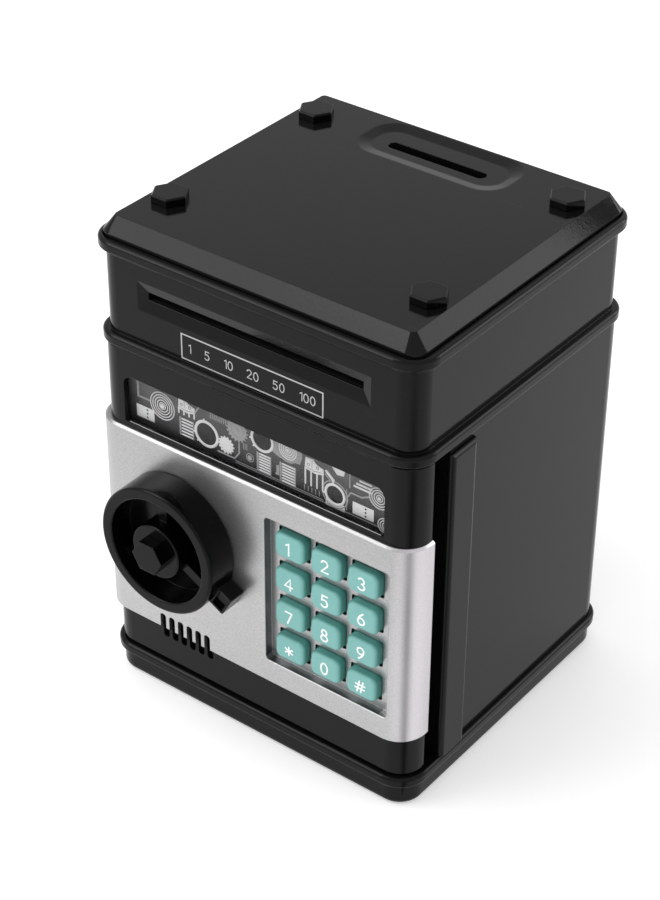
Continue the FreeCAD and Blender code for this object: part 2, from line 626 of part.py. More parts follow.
def build_hinge_pins():
    """Two steel pins, one pressed into the base and one into the underside of the deck."""
    place = ("hinge_x", "hinge_y")
    lower = cylinder("lower_pin", "z", "base_top - pin_seat", "door_low + lug_tall - pin_end_gap", place,
                     "pin_r")
    upper = cylinder("upper_pin", "z", "door_high - lug_tall + pin_end_gap", DECK_TOP, place, "pin_r")
    group("hinge_pins", [lower, upper])


def build_latch_keeper():
    """Steel strike plate behind the left frame, which the latch bolt hooks."""
    back = "frame_front + frame_wall"
    box("latch_keeper", ("-case_half_x + wall + keeper_gap", "mouth_left - keeper_gap"),
        (back, f"{back} + keeper_thick"), ("latch_low - keeper_below", "latch_low + keeper_above"))


def build_case_screws():
    under = []
    over = []
    for side, y in BOSSES:
        place = (f"{side} * boss_x", y)
        number = len(under)
        under.append(screw(f"base_screw_{number}", "z", "base_floor - screw_head_tall", "base_floor",
                           "floor_low - 2 * over", place, "2 * screw_r", "pilot_r"))
        over.append(screw(f"deck_screw_{number}", "z", f"{DECK_TOP} + screw_head_tall", DECK_TOP,
                          "case_top - boss_tall + 2 * boss_cap", place, "2 * screw_r", "pilot_r"))
    group("base_screws", under)
    group("deck_screws", over)


# ---------------------------------------------------------------- battery bay

def build_battery_hatch():
    body = new_body("battery_hatch")
    outside = "hatch_low - over"
    pad(body, "XY", "hatch_low", "hatch_high",
        centred("0", "bay_y", "hatch_half_x", "hatch_half_y", "hatch_r"))
    ribs = [centred("0", f"bay_y + {row} * grip_pitch", "grip_half_x", "grip_half_y")
            for row in (-2, -1, 0, 1, 2)]
    pocket(body, "XY", outside, "hatch_low + grip_deep", *ribs)
    pocket(body, "XY", outside, "hatch_low + hatch_head_sink + hatch_head",
           ("hatch_screw_x", "bay_y", "hatch_head_r + screw_fit"))
    pocket(body, "XY", outside, "hatch_high + over", ("hatch_screw_x", "bay_y", "hatch_screw_r + screw_fit"))


def build_hatch_screw():
    head_end = "hatch_low + hatch_head_sink"
    screw("hatch_screw", "z", head_end, f"{head_end} + hatch_head", "hatch_high + hatch_boss_tall / 2 + over",
          ("hatch_screw_x", "bay_y"), "hatch_head_r", "hatch_screw_r")


def build_battery_cells():
    """Three cells side by side, each turned the other way to its neighbour."""
    cells_made = []
    for number in (-1, 0, 1):
        end = 1 if number == 0 else -1
        place = (f"bay_y + {number} * cell_pitch", "cell_z")
        can = cylinder(f"cell_can_{number + 1}", "x", "-cell_long / 2", "cell_long / 2", place, "cell_r")
        nub_span = ("cell_long / 2", "cell_long / 2 + nub_long")
        if end < 0:
            nub_span = ("-cell_long / 2 - nub_long", "-cell_long / 2")
        nub = cylinder(f"cell_nub_{number + 1}", "x", *nub_span, place, "nub_r")
        cells_made.append(fuse(f"cell_{number + 1}", can, nub))
    group("battery_cells", cells_made)


def build_battery_contacts():
    """Spring and button contacts in the two ends of the bay."""
    contacts = []
    for number in (-1, 0, 1):
        y = f"bay_y + {number} * cell_pitch"
        nub_side = 1 if number == 0 else -1
        for side in (-1, 1):
            name = f"contact_{number + 1}_{(side + 1) // 2}"
            outer = f"{side} * bay_half_x"
            inner = f"{side} * (bay_half_x - contact_thick)"
            span = (inner, outer) if side > 0 else (outer, inner)
            plate = box(f"{name}_plate", span, (f"{y} - contact_half", f"{y} + contact_half"),
                        ("cell_z - contact_half", "cell_z + contact_half"))
            reach = "cell_long / 2 + nub_long" if side == nub_side else "cell_long / 2"
            tips = (inner, f"{side} * ({reach})")
            start, end = tips if side < 0 else tips[::-1]
            wide, narrow = ("2.4", "3.6") if side != nub_side else ("1.8", "2.6")
            radii = (narrow, wide) if side < 0 else (wide, narrow)
            spring = cone(f"{name}_spring", "x", start, end, (y, "cell_z"), *radii)
            contacts.append(fuse(name, plate, spring))
    group("battery_contacts", contacts)


# ---------------------------------------------------------------- door

LID_SCREWS = [(x, f"lid_screw_{level}") for x in ("-ear_x", "lid_right - ear_inset")
              for level in ("low", "mid", "high")]
FACE = "-case_half_y"
INNER_FACE = "-case_half_y + wall"
PANEL_FACE = "-case_half_y - panel_thick"


def vent_slots():
    return [rect(f"vent_x + {n} * vent_pitch - vent_half", f"vent_x + {n} * vent_pitch + vent_half",
                 "vent_low", "vent_high", "vent_end_r") for n in (-2.5, -1.5, -0.5, 0.5, 1.5, 2.5)]


def build_door_shell():
    body = new_body("door_shell")
    pad(body, "XY", "door_low", "door_high", [
        ("-case_half_x", FACE, "corner_r"), ("case_half_x", FACE, "corner_r"),
        ("case_half_x", "door_back", "0"), ("-case_half_x", "door_back", "0")])
    dress(body, "Fillet", "door_soft", lambda edge: edge.BoundBox.ZLength < 1e-4
          and not at_level(edge, "Y", "door_back"))
    pocket(body, "XY", "door_low + wall", "door_high - wall", [
        ("-case_half_x + wall", INNER_FACE, "corner_r - wall"),
        ("case_half_x - wall", INNER_FACE, "corner_r - wall"),
        ("case_half_x - wall", "door_back + over", "0"), ("-case_half_x + wall", "door_back + over", "0")])
    pads = [("door_low", "door_low + lug_tall"), ("door_high - lug_tall", "door_high")]
    for low, high in pads:
        pad(body, "XY", low, high, ("hinge_x", "hinge_y", "lug_r"))
        pocket(body, "XY", f"{low} - over", f"{high} + over", ("hinge_x", "hinge_y", "pin_r + pin_fit"))
    bosses = [(x, z, "lid_boss_r") for x, z in LID_SCREWS]
    pad(body, "XZ", INNER_FACE, "lid_front", *bosses)
    pad(body, "XZ", INNER_FACE, "bearing_back", ("knob_x", "knob_z", "bearing_r"))
    pocket(body, "XZ", INNER_FACE, "lid_front + over", *[(x, z, "pilot_r") for x, z in LID_SCREWS])
    outside = f"{FACE} - over"
    through = f"{INNER_FACE} + weld"
    pocket(body, "XZ", outside, "bearing_back + over", ("knob_x", "knob_z", "shaft_r + shaft_fit"))
    pocket(body, "XZ", outside, f"{INNER_FACE} + pan_wall",
           rect("pan_left - pan_wall", "pan_right + pan_wall", "pan_low - pan_wall", "pan_high + pan_wall",
                "pan_r + pan_wall"))
    pocket(body, "XZ", outside, through, [
        ("-window_half", "window_low", "window_low_r"), ("window_half", "window_low", "window_low_r"),
        ("window_half", "window_high", "window_r"), ("-window_half", "window_high", "window_r")])
    pocket(body, "XZ", outside, through, *vent_slots())


def build_door_panel():
    """Silver skin over the door: it wraps both front corners and carries the keypad pan."""
    body = new_body("door_panel")
    left = "-case_half_x - panel_left"
    right = "case_half_x + panel_right"
    outer_r = "corner_r + panel_thick"
    pad(body, "XY", "panel_low", "panel_high", [
        (right, "panel_back", "0"), ("case_half_x", "panel_back", "0"), ("case_half_x", FACE, "corner_r"),
        ("-case_half_x", FACE, "corner_r"), ("-case_half_x", "panel_back", "0"),
        (left, "panel_back", "0"), (left, PANEL_FACE, outer_r), (right, PANEL_FACE, outer_r)])
    dress(body, "Chamfer", "panel_bevel", lambda edge: not on_outline(edge, *CASE)
          and not at_level(edge, "Y", "panel_back") and edge.BoundBox.ZLength < size("weld"))
    around = ("pan_left - pan_wall", "pan_right + pan_wall", "pan_low - pan_wall", "pan_high + pan_wall")
    outside = f"{PANEL_FACE} - over"
    pan_floor = f"{PANEL_FACE} + pan_deep"
    pad(body, "XZ", f"{FACE} - weld", f"{pan_floor} + pan_wall", rect(*around, "pan_r + pan_wall"))
    pocket(body, "XZ", outside, pan_floor, rect("pan_left", "pan_right", "pan_low", "pan_high", "pan_r"))
    dress(body, "Fillet", "pan_soft", lambda edge: at_level(edge, "Y", PANEL_FACE)
          and edge.BoundBox.XMin > size("pan_left - weld") and edge.BoundBox.XMax < size("pan_right + weld"))
    holes = [centred(x, z, "hole_half_x", "hole_half_z", "hole_r") for name, x, z in keys()]
    pocket(body, "XZ", f"{pan_floor} - weld", f"{pan_floor} + pan_wall + over", *holes)
    pocket(body, "XZ", outside, f"{FACE} + weld", ("knob_x", "knob_z", "shaft_r + panel_hole_gap"))
    pocket(body, "XZ", outside, f"{FACE} + weld", *vent_slots())


def build_window():
    """Clear lens from behind the cut-out, and the printed plate behind it."""
    lens = new_body("window_lens")
    right, low, high = "window_half - lens_fit", "window_low + lens_fit", "window_high - lens_fit"
    low_r, high_r = "window_low_r - lens_fit", "window_r - lens_fit"
    pad(lens, "XZ", f"{FACE} + lens_inset", INNER_FACE, [
        (f"-({right})", low, low_r), (right, low, low_r),
        (right, high, high_r), (f"-({right})", high, high_r)])
    rim = rect("-window_half - lens_lip", "window_half + lens_lip", "window_low - lens_lip",
               "window_high + lens_lip", "lens_flange")
    pad(lens, "XZ", INNER_FACE, f"{INNER_FACE} + lens_flange", rim)
    plate = new_body("window_plate")
    behind = f"{INNER_FACE} + lens_flange + print_gap"
    pad(plate, "XZ", behind, f"{behind} + print_thick", rim)


def build_door_lid():
    """Inner cover of the door, with the pod that holds the lock."""
    body = new_body("door_lid")
    pad(body, "XZ", "lid_front", "lid_front + lid_wall",
        rect("-case_half_x + wall + lid_gap", "lid_right", "door_low + wall + lid_gap",
             "door_high - wall - lid_gap", "lid_r"))
    pad(body, "XZ", "lid_front + lid_wall", "pod_back",
        rect("pod_left", "pod_right", "pod_low", "pod_high", "pod_r"))
    outside = "lid_front - over"
    pocket(body, "XZ", outside, "pod_back - pod_wall",
           rect("pod_left + pod_wall", "pod_right - pod_wall", "pod_low + pod_wall", "pod_high - pod_wall",
                "pod_inner_r"))
    pocket(body, "YZ", "pod_left - over", "pod_left + pod_wall + over",
           rect("latch_front - latch_fit", "latch_back + latch_fit", "latch_low - latch_fit",
                "knob_z - lock_module * lock_teeth / 2 + lock_module"))
    pocket(body, "XZ", outside, "pod_back + over", ("knob_x", "knob_z", "journal_r + shaft_fit"))
    pocket(body, "XZ", outside, "lid_front + lid_wall + over",
           *[(x, z, "screw_r + screw_fit") for x, z in LID_SCREWS])


def build_lid_screws():
    screws = []
    for number, place in enumerate(LID_SCREWS):
        back = "lid_front + lid_wall"
        screws.append(screw(f"lid_screw_{number}", "y", f"{back} + lid_screw_head", back,
                            "lid_front - lid_screw_long", place, "lid_boss_r", "pilot_r"))
    group("lid_screws", screws)


def build_speaker():
    place = ("vent_x", "speaker_z")
    shoulder = f"{INNER_FACE} + speaker_rim"
    neck = f"{shoulder} + speaker_cone"
    rim = cylinder("speaker_rim_ring", "y", INNER_FACE, shoulder, place, "speaker_r")
    basket = cone("speaker_basket", "y", shoulder, neck, place, "speaker_r - speaker_lip / 2",
                  "speaker_magnet_r")
    magnet = cylinder("speaker_magnet", "y", neck, "speaker_back", place, "speaker_magnet_r")
    hollow = cylinder("speaker_hollow", "y", INNER_FACE, f"{INNER_FACE} + speaker_mouth", place,
                      "speaker_r - speaker_lip")
    cut("speaker", fuse("speaker_solid", rim, basket, magnet), hollow)


# ---------------------------------------------------------------- keypad

KEY_NAMES = (("star", "0", "hash"), ("7", "8", "9"), ("4", "5", "6"), ("1", "2", "3"))


def keys():
    """Name and centre of each key, from the bottom row up."""
    places = []
    for row, names in enumerate(KEY_NAMES):
        for column, name in enumerate(names):
            places.append((f"key_{name}", f"key_x + {column} * key_pitch_x", f"key_z + {row} * key_pitch_z"))
    return places


def build_keys():
    for name, x, z in keys():
        body = new_body(name)
        pad(body, "XZ", "key_face", "key_skirt", centred(x, z, "key_half_x", "key_half_z", "key_r"))
        dress(body, "Fillet", "key_dome", lambda edge: at_level(edge, "Y", "key_face"))
        pad(body, "XZ", "key_skirt", "key_back", centred(x, z, "skirt_half_x", "skirt_half_z", "skirt_r"))


def build_key_mat():
    """Silicone sheet with a low dome under each key."""
    body = new_body("key_mat")
    pad(body, "XZ", "mat_face", "mat_back",
        rect("pan_left - mat_margin", "pan_right - mat_right_gap", "pan_low - mat_margin",
             "pan_high + mat_margin", "mat_r"))
    ends = (("mat_face", "dome_r"), ("dome_tip", "dome_tip_r"))
    for name, x, z in keys():
        loft(body, "Additive", "XZ", [(level, centred(x, z, reach, reach, f"{reach} - dome_flat"))
                                      for level, reach in ends])


def build_keypad_board():
    left = "pan_left - mat_margin"
    sheet = box("keypad_sheet", (left, "pan_right - board_right_gap"), ("mat_back", "mat_back + board_thick"),
                ("pan_low - mat_margin", "pan_high + mat_margin"))
    socket = box("keypad_socket", (left, "pan_left + socket_wide"), ("mat_back + board_thick", "lid_front"),
                 ("pan_low + socket_low", "pan_low + socket_high"))
    fuse("keypad_board", sheet, socket)


# ---------------------------------------------------------------- knob and lock

def build_knob():
    """Spoked knob, made about its own axis with the pointer tab on +X, then turned into place."""
    body = new_body("knob")
    face = "-knob_face"
    outside = f"{face} - over"
    pad(body, "XZ", face, "-knob_back", ("0", "0", "knob_r"))
    dress(body, "Fillet", "knob_round", lambda edge: at_level(edge, "Y", face))
    pocket(body, "XZ", outside, "-knob_floor", ("0", "0", "knob_bowl"), ("0", "0", "hub_r"))
    pad(body, "XZ", f"{face} + spoke_drop", "-knob_floor + weld",
        rect("hub_r - over", "knob_bowl + over", "-spoke_half", "spoke_half"))
    spokes = body.newObject("PartDesign::PolarPattern", "knob_spokes")
    spokes.Originals = [body.Tip]
    spokes.Axis = (body.Tip.Profile[0], ["N_Axis"])
    spokes.Angle = 360
    spokes.Occurrences = 3
    body.Tip = spokes
    doc.recompute()
    dress(body, "Fillet", "knob_soft", lambda edge: at_level(edge, "Y", face)
          and edge.BoundBox.XLength < 2 * size("knob_bowl + weld"))
    pad(body, "XZ", "-tab_face", "-knob_back",
        rect("knob_r - 2 * over", "tab_end", "-tab_half", "tab_half", "tab_round"))
    pocket(body, "XZ", "-tab_face - over", "-tab_face + tab_deep",
           rect("tab_start", "tab_end - tab_rim", "-tab_half + tab_rim", "tab_half - tab_rim",
                "tab_round / 2"))
    pocket(body, "XZ", outside, "0", ("0", "0", "neck_r"))
    body.Placement = FreeCAD.Placement(Vector(), FreeCAD.Rotation(Vector(0, 1, 0), size("knob_turn")))
    for path, expression in zip(PLACES, ("knob_x", PANEL_FACE, "knob_z")):
        bind(body, path, expression)


def build_knob_nut():
    """Hexagonal cap screw on the hub; its shank fills the knob's bore."""
    place = ("knob_x", "knob_z")
    front = f"{PANEL_FACE} - knob_face"
    head = hexagon("knob_nut_head", "y", f"{front} - nut_proud", front, place, "nut_hex")
    shank = cylinder("knob_nut_shank", "y", front, f"{PANEL_FACE} - knob_floor", place, "neck_r")
    fuse("knob_nut", head, shank)


def build_knob_shaft():
    """Steel spindle: a bearing length in the door, then the journal that carries the pinion."""
    place = ("knob_x", "knob_z")
    knob_rear = f"{PANEL_FACE} - knob_back"
    shoulder = "lock_front - over"
    neck = cylinder("shaft_neck", "y", f"{PANEL_FACE} - knob_floor", knob_rear, place, "neck_r")
    bearing = cylinder("shaft_bearing", "y", knob_rear, shoulder, place, "shaft_r")
    journal = cylinder("shaft_journal", "y", shoulder, "pod_back - shaft_end_gap", place, "journal_r")
    fuse("knob_shaft", neck, bearing, journal)


def build_lock_pinion():
    width = size("lock_back - lock_front")
    gear = gear_shape(int(size("lock_teeth")), size("lock_module"), width, size("journal_r"))
    gear.rotate(Vector(), Vector(0, 0, 1), -90)
    gear.rotate(Vector(), Vector(1, 0, 0), 90)
    gear.translate(Vector(size("knob_x"), size("lock_back"), size("knob_z")))
    own_shape("lock_pinion", gear)


def build_latch_bolt():
    """Sliding bolt: a rack under the pinion and two notches for the lock's plunger."""
    module = size("lock_module")
    pitch_z = size("knob_z") - module * size("lock_teeth") / 2 - size("mesh_slack")
    root_z = pitch_z - DEDENDUM * module
    tip_z = pitch_z + ADDENDUM * module
    pitch = math.pi * module
    lean = math.tan(PRESSURE)
    detent = size("detent_half")
    tip_x = size("latch_tip")
    outline = [Vector(tip_x, 0, size("latch_low + latch_slant")), Vector(tip_x, 0, root_z)]
    centre = size("knob_x") - 1.5 * pitch
    while centre < size("detent_x") - detent - 1.5 * pitch:
        root_half = TOOTH_SHARE * pitch / 2 + DEDENDUM * module * lean
        tip_half = TOOTH_SHARE * pitch / 2 - ADDENDUM * module * lean
        outline.append(Vector(centre - root_half, 0, root_z))
        outline.append(Vector(centre - tip_half, 0, tip_z))
        outline.append(Vector(centre + tip_half, 0, tip_z))
        outline.append(Vector(centre + root_half, 0, root_z))
        centre += pitch
    depth_z = root_z - size("detent_deep")
    travel = math.radians(size("knob_travel")) * module * size("lock_teeth") / 2
    for middle in (size("detent_x"), size("detent_x") + travel):
        outline.append(Vector(middle - detent, 0, root_z))
        outline.append(Vector(middle - detent, 0, depth_z))
        outline.append(Vector(middle + detent, 0, depth_z))
        outline.append(Vector(middle + detent, 0, root_z))
    outline.append(Vector(size("latch_tail"), 0, root_z))
    outline.append(Vector(size("latch_tail"), 0, size("latch_low")))
    outline.append(Vector(tip_x + size("latch_slant"), 0, size("latch_low")))
    wire = Part.makePolygon(outline + outline[:1])
    solid = Part.Face(wire).extrude(Vector(0, size("latch_back - latch_front"), 0))
    solid.translate(Vector(0, size("latch_front"), 0))
    own_shape("latch_bolt", solid)


def latch_top():
    """Height of the bolt's plain upper face, which the plunger rides over."""
    return f"knob_z - lock_module * (lock_teeth / 2 + {DEDENDUM}) - mesh_slack"


def build_solenoid():
    place = ("detent_x", "(latch_front + latch_back) / 2")
    low, high = "coil_low + coil_plate", "coil_high - coil_plate"
    sides = ("latch_front - coil_side", "latch_back + coil_side")
    right = "detent_x + coil_half"
    coil = cylinder("coil_winding", "z", low, high, place, "coil_r")
    plates = [box(f"coil_plate_{n}", ("detent_x - coil_half", right), sides, span)
              for n, span in enumerate((("coil_low", low), (high, "coil_high")))]
    yoke = box("coil_yoke", (f"{right} - coil_plate", right), sides, ("coil_low", "coil_high"))
    bore = cylinder("coil_bore", "z", "coil_low - over", "coil_high + over", place, "plunger_r + plunger_fit")
    cut("solenoid_coil", fuse("coil_solid", coil, yoke, *plates), bore)
    tip = f"{latch_top()} + plunger_lift"
    cylinder("solenoid_plunger", "z", tip, f"{tip} + plunger_long", place, "plunger_r")


# ---------------------------------------------------------------- note feeder in the head

DRIVE_Z = "note_z - roller_r - roller_nip"
PINCH_Z = "note_z + roller_r + roller_nip"


def build_deck():
    """Floor of the head, with the drop opening for notes and the coin chute's hole."""
    body = new_body("mechanism_deck")
    through = ("case_top - over", f"{DECK_TOP} + over")
    pad(body, "XY", "case_top", DECK_TOP, inside(HEAD, "head_wall + deck_gap"))
    pocket(body, "XY", *through, rect("-drop_half", "drop_half", "drop_front", "drop_back", "drop_r"))
    pocket(body, "XY", *through, centred("0", "chute_y", "chute_half + chute_fit", "chute_depth + chute_fit"))
    pocket(body, "XY", *through, *[(f"{side} * boss_x", y, "screw_r + screw_fit") for side, y in BOSSES])
    pocket(body, "XY", *through, ("hinge_x", "hinge_y", "pin_r"))


def build_brackets():
    """Side plates that stand on the deck and hold the two roller axles."""
    sides = (("left_bracket", "-bracket_x - bracket_thick", "-bracket_x", "bracket_left_back"),
             ("right_bracket", "bracket_x", "bracket_x + bracket_thick", "bracket_right_back"))
    for name, low, high, back in sides:
        body = new_body(name)
        pad(body, "YZ", low, high, rect("bracket_front", back, DECK_TOP, "bracket_top", "bracket_r"))
        pocket(body, "YZ", f"{low} - over", f"{high} + over", ("roller_y", DRIVE_Z, "axle_r + axle_fit"),
               ("roller_y", PINCH_Z, "axle_r + axle_fit"))
    idler_y, idler_z = idler_place()
    pocket(body, "YZ", "bracket_x - over", "bracket_x + bracket_thick + over",
           (f"{idler_y}", f"{idler_z}", "idler_axle_r"), ("motor_y", "motor_z", "motor_boss_r"))


def build_guides():
    """Lower and upper note guides; the upper one curves down to turn the note into the drop."""
    lower = new_body("lower_note_guide")
    top = "note_z - guide_gap"
    bottom = f"{top} - guide_thick"
    pad(lower, "XY", bottom, top, rect("-bracket_x", "bracket_x", "guide_front", "drop_front"))
    windows = [centred(f"{side} * roller_x", "roller_y", "window_x", "window_y", "guide_r")
               for side in (-1, 1)]
    pocket(lower, "XY", f"{bottom} - over", f"{top} + over", *windows)
    upper = new_body("upper_note_guide")
    under = "note_z + guide_gap"
    over_guide = f"{under} + guide_thick"
    pad(upper, "YZ", "-bracket_x", "bracket_x", [
        ("guide_front", under, "0"), ("curve_back - guide_thick", under, "curve_r"),
        ("curve_back - guide_thick", "curve_end", "0"), ("curve_back", "curve_end", "0"),
        ("curve_back", over_guide, "curve_r + guide_thick"), ("guide_front", over_guide, "0")])
    pocket(upper, "XY", f"{under} - over", f"{over_guide} + over", *windows)


def build_rollers():
    for name, z in (("drive", DRIVE_Z), ("pinch", PINCH_Z)):
        end = "wheel_left + wheel_wide" if name == "drive" else "bracket_x + bracket_thick"
        cylinder(f"{name}_axle", "x", "-bracket_x - bracket_thick", end, ("roller_y", z), "axle_r")
        tyres = []
        for number, side in enumerate((-1, 1)):
            low = f"{side} * roller_x - roller_half"
            high = f"{side} * roller_x + roller_half"
            outer = cylinder(f"{name}_tyre_{number}", "x", low, high, ("roller_y", z), "roller_r")
            bore = cylinder(f"{name}_tyre_bore_{number}", "x", low, high, ("roller_y", z), "axle_r")
            tyres.append(cut(f"{name}_tyre_ring_{number}", outer, bore))
        group(f"{name}_tyres", tyres)


def idler_place():
    """Centre (y, z) of the idler, which meshes with the roller's wheel and the motor's pinion."""
    module = size("gear_module")
    drive = Vector(size("roller_y"), size(DRIVE_Z), 0)
    motor = Vector(size("motor_y"), size("motor_z"), 0)
    slack = size("mesh_slack")
    to_drive = module * size("wheel_teeth + small_teeth") / 2 + slack
    to_motor = module * size("wheel_teeth + pinion_teeth") / 2 + slack
    span = motor - drive
    along = (to_drive ** 2 - to_motor ** 2 + span.Length ** 2) / (2 * span.Length)
    rise = math.sqrt(to_drive ** 2 - along ** 2)
    unit = span.normalize()
    centre = drive + unit * along + Vector(-unit.y, unit.x, 0) * rise
    return centre.x, centre.y


def build_gears():
    """Motor pinion, compound idler and the wheel on the drive roller, all in mesh at rest."""
    module = size("gear_module")
    wheel, small, pinion = (int(size(f"{name}_teeth")) for name in ("wheel", "small", "pinion"))
    width = size("wheel_wide")
    idler_y, idler_z = idler_place()
    to_idler = math.degrees(math.atan2(idler_z - size(DRIVE_Z), idler_y - size("roller_y")))
    to_motor = math.degrees(math.atan2(size("motor_z") - idler_z, size("motor_y") - idler_y))
    left = size("wheel_left")
    second = left + width + size("idler_gap")
    own_shape("roller_wheel", along_x(gear_shape(wheel, module, width, size("axle_r")), left,
                                      size("roller_y"), size(DRIVE_Z), to_idler))
    bore = size("idler_axle_r + axle_fit")
    inner = gear_shape(small, module, second - left, bore)
    inner = along_x(inner, left, idler_y, idler_z, to_idler + 180 + 180 / small)
    outer = along_x(gear_shape(wheel, module, size("wheel_thin"), bore), second, idler_y, idler_z, to_motor)
    own_shape("idler_gear", inner.fuse(outer).removeSplitter())
    meshed = gear_shape(pinion, module, width, size("motor_axle_r"))
    own_shape("motor_pinion", along_x(meshed, second - size("pinion_lead"), size("motor_y"), size("motor_z"),
                                      to_motor + 180 + 180 / pinion))
    end = f"{second + width}"
    cylinder("idler_axle", "x", "bracket_x", end, (f"{idler_y}", f"{idler_z}"), "idler_axle_r")
    cylinder("motor_axle", "x", "bracket_x - motor_long / 2", end, ("motor_y", "motor_z"), "motor_axle_r")


def build_motor():
    place = ("motor_y", "motor_z")
    span = ("bracket_x - motor_long", "bracket_x")
    can = cylinder("motor_round", "x", *span, place, "motor_r")
    flats = box("motor_flats", span, ("motor_y - motor_r", "motor_y + motor_r"),
                ("motor_z - motor_flat", "motor_z + motor_flat"))
    common = doc.addObject("Part::MultiCommon", "motor_case")
    common.Shapes = [can, flats]
    boss = cylinder("motor_boss", "x", "bracket_x", "bracket_x + bracket_thick", place, "motor_boss_r")
    bore = cylinder("motor_bore", "x", "bracket_x - motor_long / 2", "bracket_x + bracket_thick + over",
                    place, "motor_axle_r + axle_fit")
    cut("feed_motor", fuse("motor_solid", common, boss), bore)


def build_coin_chute():
    body = new_body("coin_chute")
    pad(body, "XY", "case_top", "cover_shoulder", centred("0", "chute_y", "chute_half", "chute_depth"),
        centred("0", "chute_y", "chute_half - chute_wall", "chute_depth - chute_wall"))


def build_note_sensor():
    top = "note_z - guide_gap - guide_thick"
    box("note_sensor", ("-sensor_half_x", "sensor_half_x"),
        ("sensor_y - sensor_front", "sensor_y + sensor_behind"), (f"{top} - sensor_tall", top))


CHIPS = {"driver": (8, 20, 6, 16, 2), "relay": (26, 34, 8, 20, 3.5), "capacitor": (40, 54, 5, 13, 5),
         "socket": (2, 6, 4, 22, 4)}


def build_control_board():
    """A board on edge; each chip has its span along the board, its span upwards and its height."""
    face = "control_x + control_thick"
    parts = [box("control_sheet", ("control_x", face), ("control_front", "control_back"),
                 ("control_low", "control_high"))]
    for name, (y_low, y_high, z_low, z_high, tall) in CHIPS.items():
        parts.append(box(f"control_{name}", (face, f"{face} + {tall}"),
                         (f"control_front + {y_low}", f"control_front + {y_high}"),
                         (f"control_low + {z_low}", f"control_low + {z_high}")))
    fuse("control_board", *parts)


# ---------------------------------------------------------------- the whole part

NODES = [
    "base_plate", "body_shell", "hinge_strip", "head_shell", "top_cover", "cover_bolts", "hinge_pins",
    "latch_keeper", "base_screws", "deck_screws", "battery_hatch", "hatch_screw", "battery_cells",
    "battery_contacts", "door_shell", "door_panel", "window_lens", "window_plate", "door_lid", "lid_screws",
    "speaker", "key_mat", "keypad_board", "knob", "knob_nut", "knob_shaft", "lock_pinion", "latch_bolt",
    "solenoid_coil", "solenoid_plunger", "mechanism_deck", "left_bracket", "right_bracket",
    "lower_note_guide", "upper_note_guide", "drive_axle", "drive_tyres", "pinch_axle", "pinch_tyres",
    "roller_wheel", "idler_gear", "idler_axle", "motor_pinion", "motor_axle", "feed_motor", "coin_chute",
    "note_sensor", "control_board",
]


def build_all():
    fill_sheet()
    build_base_plate()
    build_body_shell()
    build_hinge_strip()
    build_head_shell()
    build_top_cover()
    build_cover_bolts()
    build_hinge_pins()
    build_latch_keeper()
    build_case_screws()
    build_battery_hatch()
    build_hatch_screw()
    build_battery_cells()
    build_battery_contacts()
    build_door_shell()
    build_door_panel()
    build_window()
    build_door_lid()
    build_lid_screws()
    build_speaker()
    build_keys()
    build_key_mat()
    build_keypad_board()
    build_knob()
    build_knob_nut()
    build_knob_shaft()
    build_lock_pinion()
    build_latch_bolt()
    build_solenoid()
    build_deck()
    build_brackets()
    build_guides()
    build_rollers()
    build_gears()
    build_motor()
    build_coin_chute()
    build_note_sensor()
    build_control_board()
    doc.recompute()


def stand_on_base(nodes):
    """Lifts every node by the depth of the foot, so that the base's underside is at height 0."""
    for node in nodes:
        item = doc.getObject(node)
        placed = {path.lstrip("."): expression for path, expression in item.ExpressionEngine}
        height = placed.get("Placement.Base.z", item.Placement.Base.z)
        item.setExpression("Placement.Base.z", f"({height}) - dims.base_low")
    doc.recompute()


def write_parts(nodes):
    """Checks every object and sub-part, then writes one STEP file for each node."""
    for item in doc.Objects:
        if "Invalid" in item.State or "Error" in item.State:
            raise RuntimeError(f"{item.Name} did not build")
    for node in nodes:
        shape = doc.getObject(node).Shape
        if shape.isNull() or not shape.isValid() or not shape.Solids:
            raise RuntimeError(f"{node} has no valid solid")
    for node in nodes:
        item = doc.getObject(node)
        item.Label = node
        item.Shape.exportStep(f"parts/{node}.step")


build_all()
all_nodes = NODES + [name for name, x, z in keys()]
stand_on_base(all_nodes)
write_parts(all_nodes)
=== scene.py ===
"""Looks of the toy cash machine savings bank: finishes, printing, small trim, light and camera."""

import math

import bmesh
import bpy
from mathutils import Matrix, Vector


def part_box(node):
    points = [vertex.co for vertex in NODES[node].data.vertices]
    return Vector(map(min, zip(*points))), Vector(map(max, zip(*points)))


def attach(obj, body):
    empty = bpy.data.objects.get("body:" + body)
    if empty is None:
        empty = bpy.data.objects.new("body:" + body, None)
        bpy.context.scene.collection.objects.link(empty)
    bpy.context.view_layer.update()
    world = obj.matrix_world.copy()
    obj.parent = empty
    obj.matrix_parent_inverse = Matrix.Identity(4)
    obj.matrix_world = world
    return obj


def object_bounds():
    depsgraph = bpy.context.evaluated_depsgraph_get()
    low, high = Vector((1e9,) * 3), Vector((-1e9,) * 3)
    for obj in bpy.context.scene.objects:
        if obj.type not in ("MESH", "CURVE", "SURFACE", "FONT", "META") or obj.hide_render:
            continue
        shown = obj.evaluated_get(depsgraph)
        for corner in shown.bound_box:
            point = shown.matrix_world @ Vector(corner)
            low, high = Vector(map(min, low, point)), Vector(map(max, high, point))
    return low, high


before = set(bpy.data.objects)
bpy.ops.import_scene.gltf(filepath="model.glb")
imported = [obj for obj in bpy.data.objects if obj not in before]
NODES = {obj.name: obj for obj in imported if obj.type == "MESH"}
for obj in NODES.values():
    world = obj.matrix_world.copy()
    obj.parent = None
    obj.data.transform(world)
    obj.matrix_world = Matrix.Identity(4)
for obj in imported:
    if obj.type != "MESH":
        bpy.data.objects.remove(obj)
CAD_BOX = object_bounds()
MM = 0.001

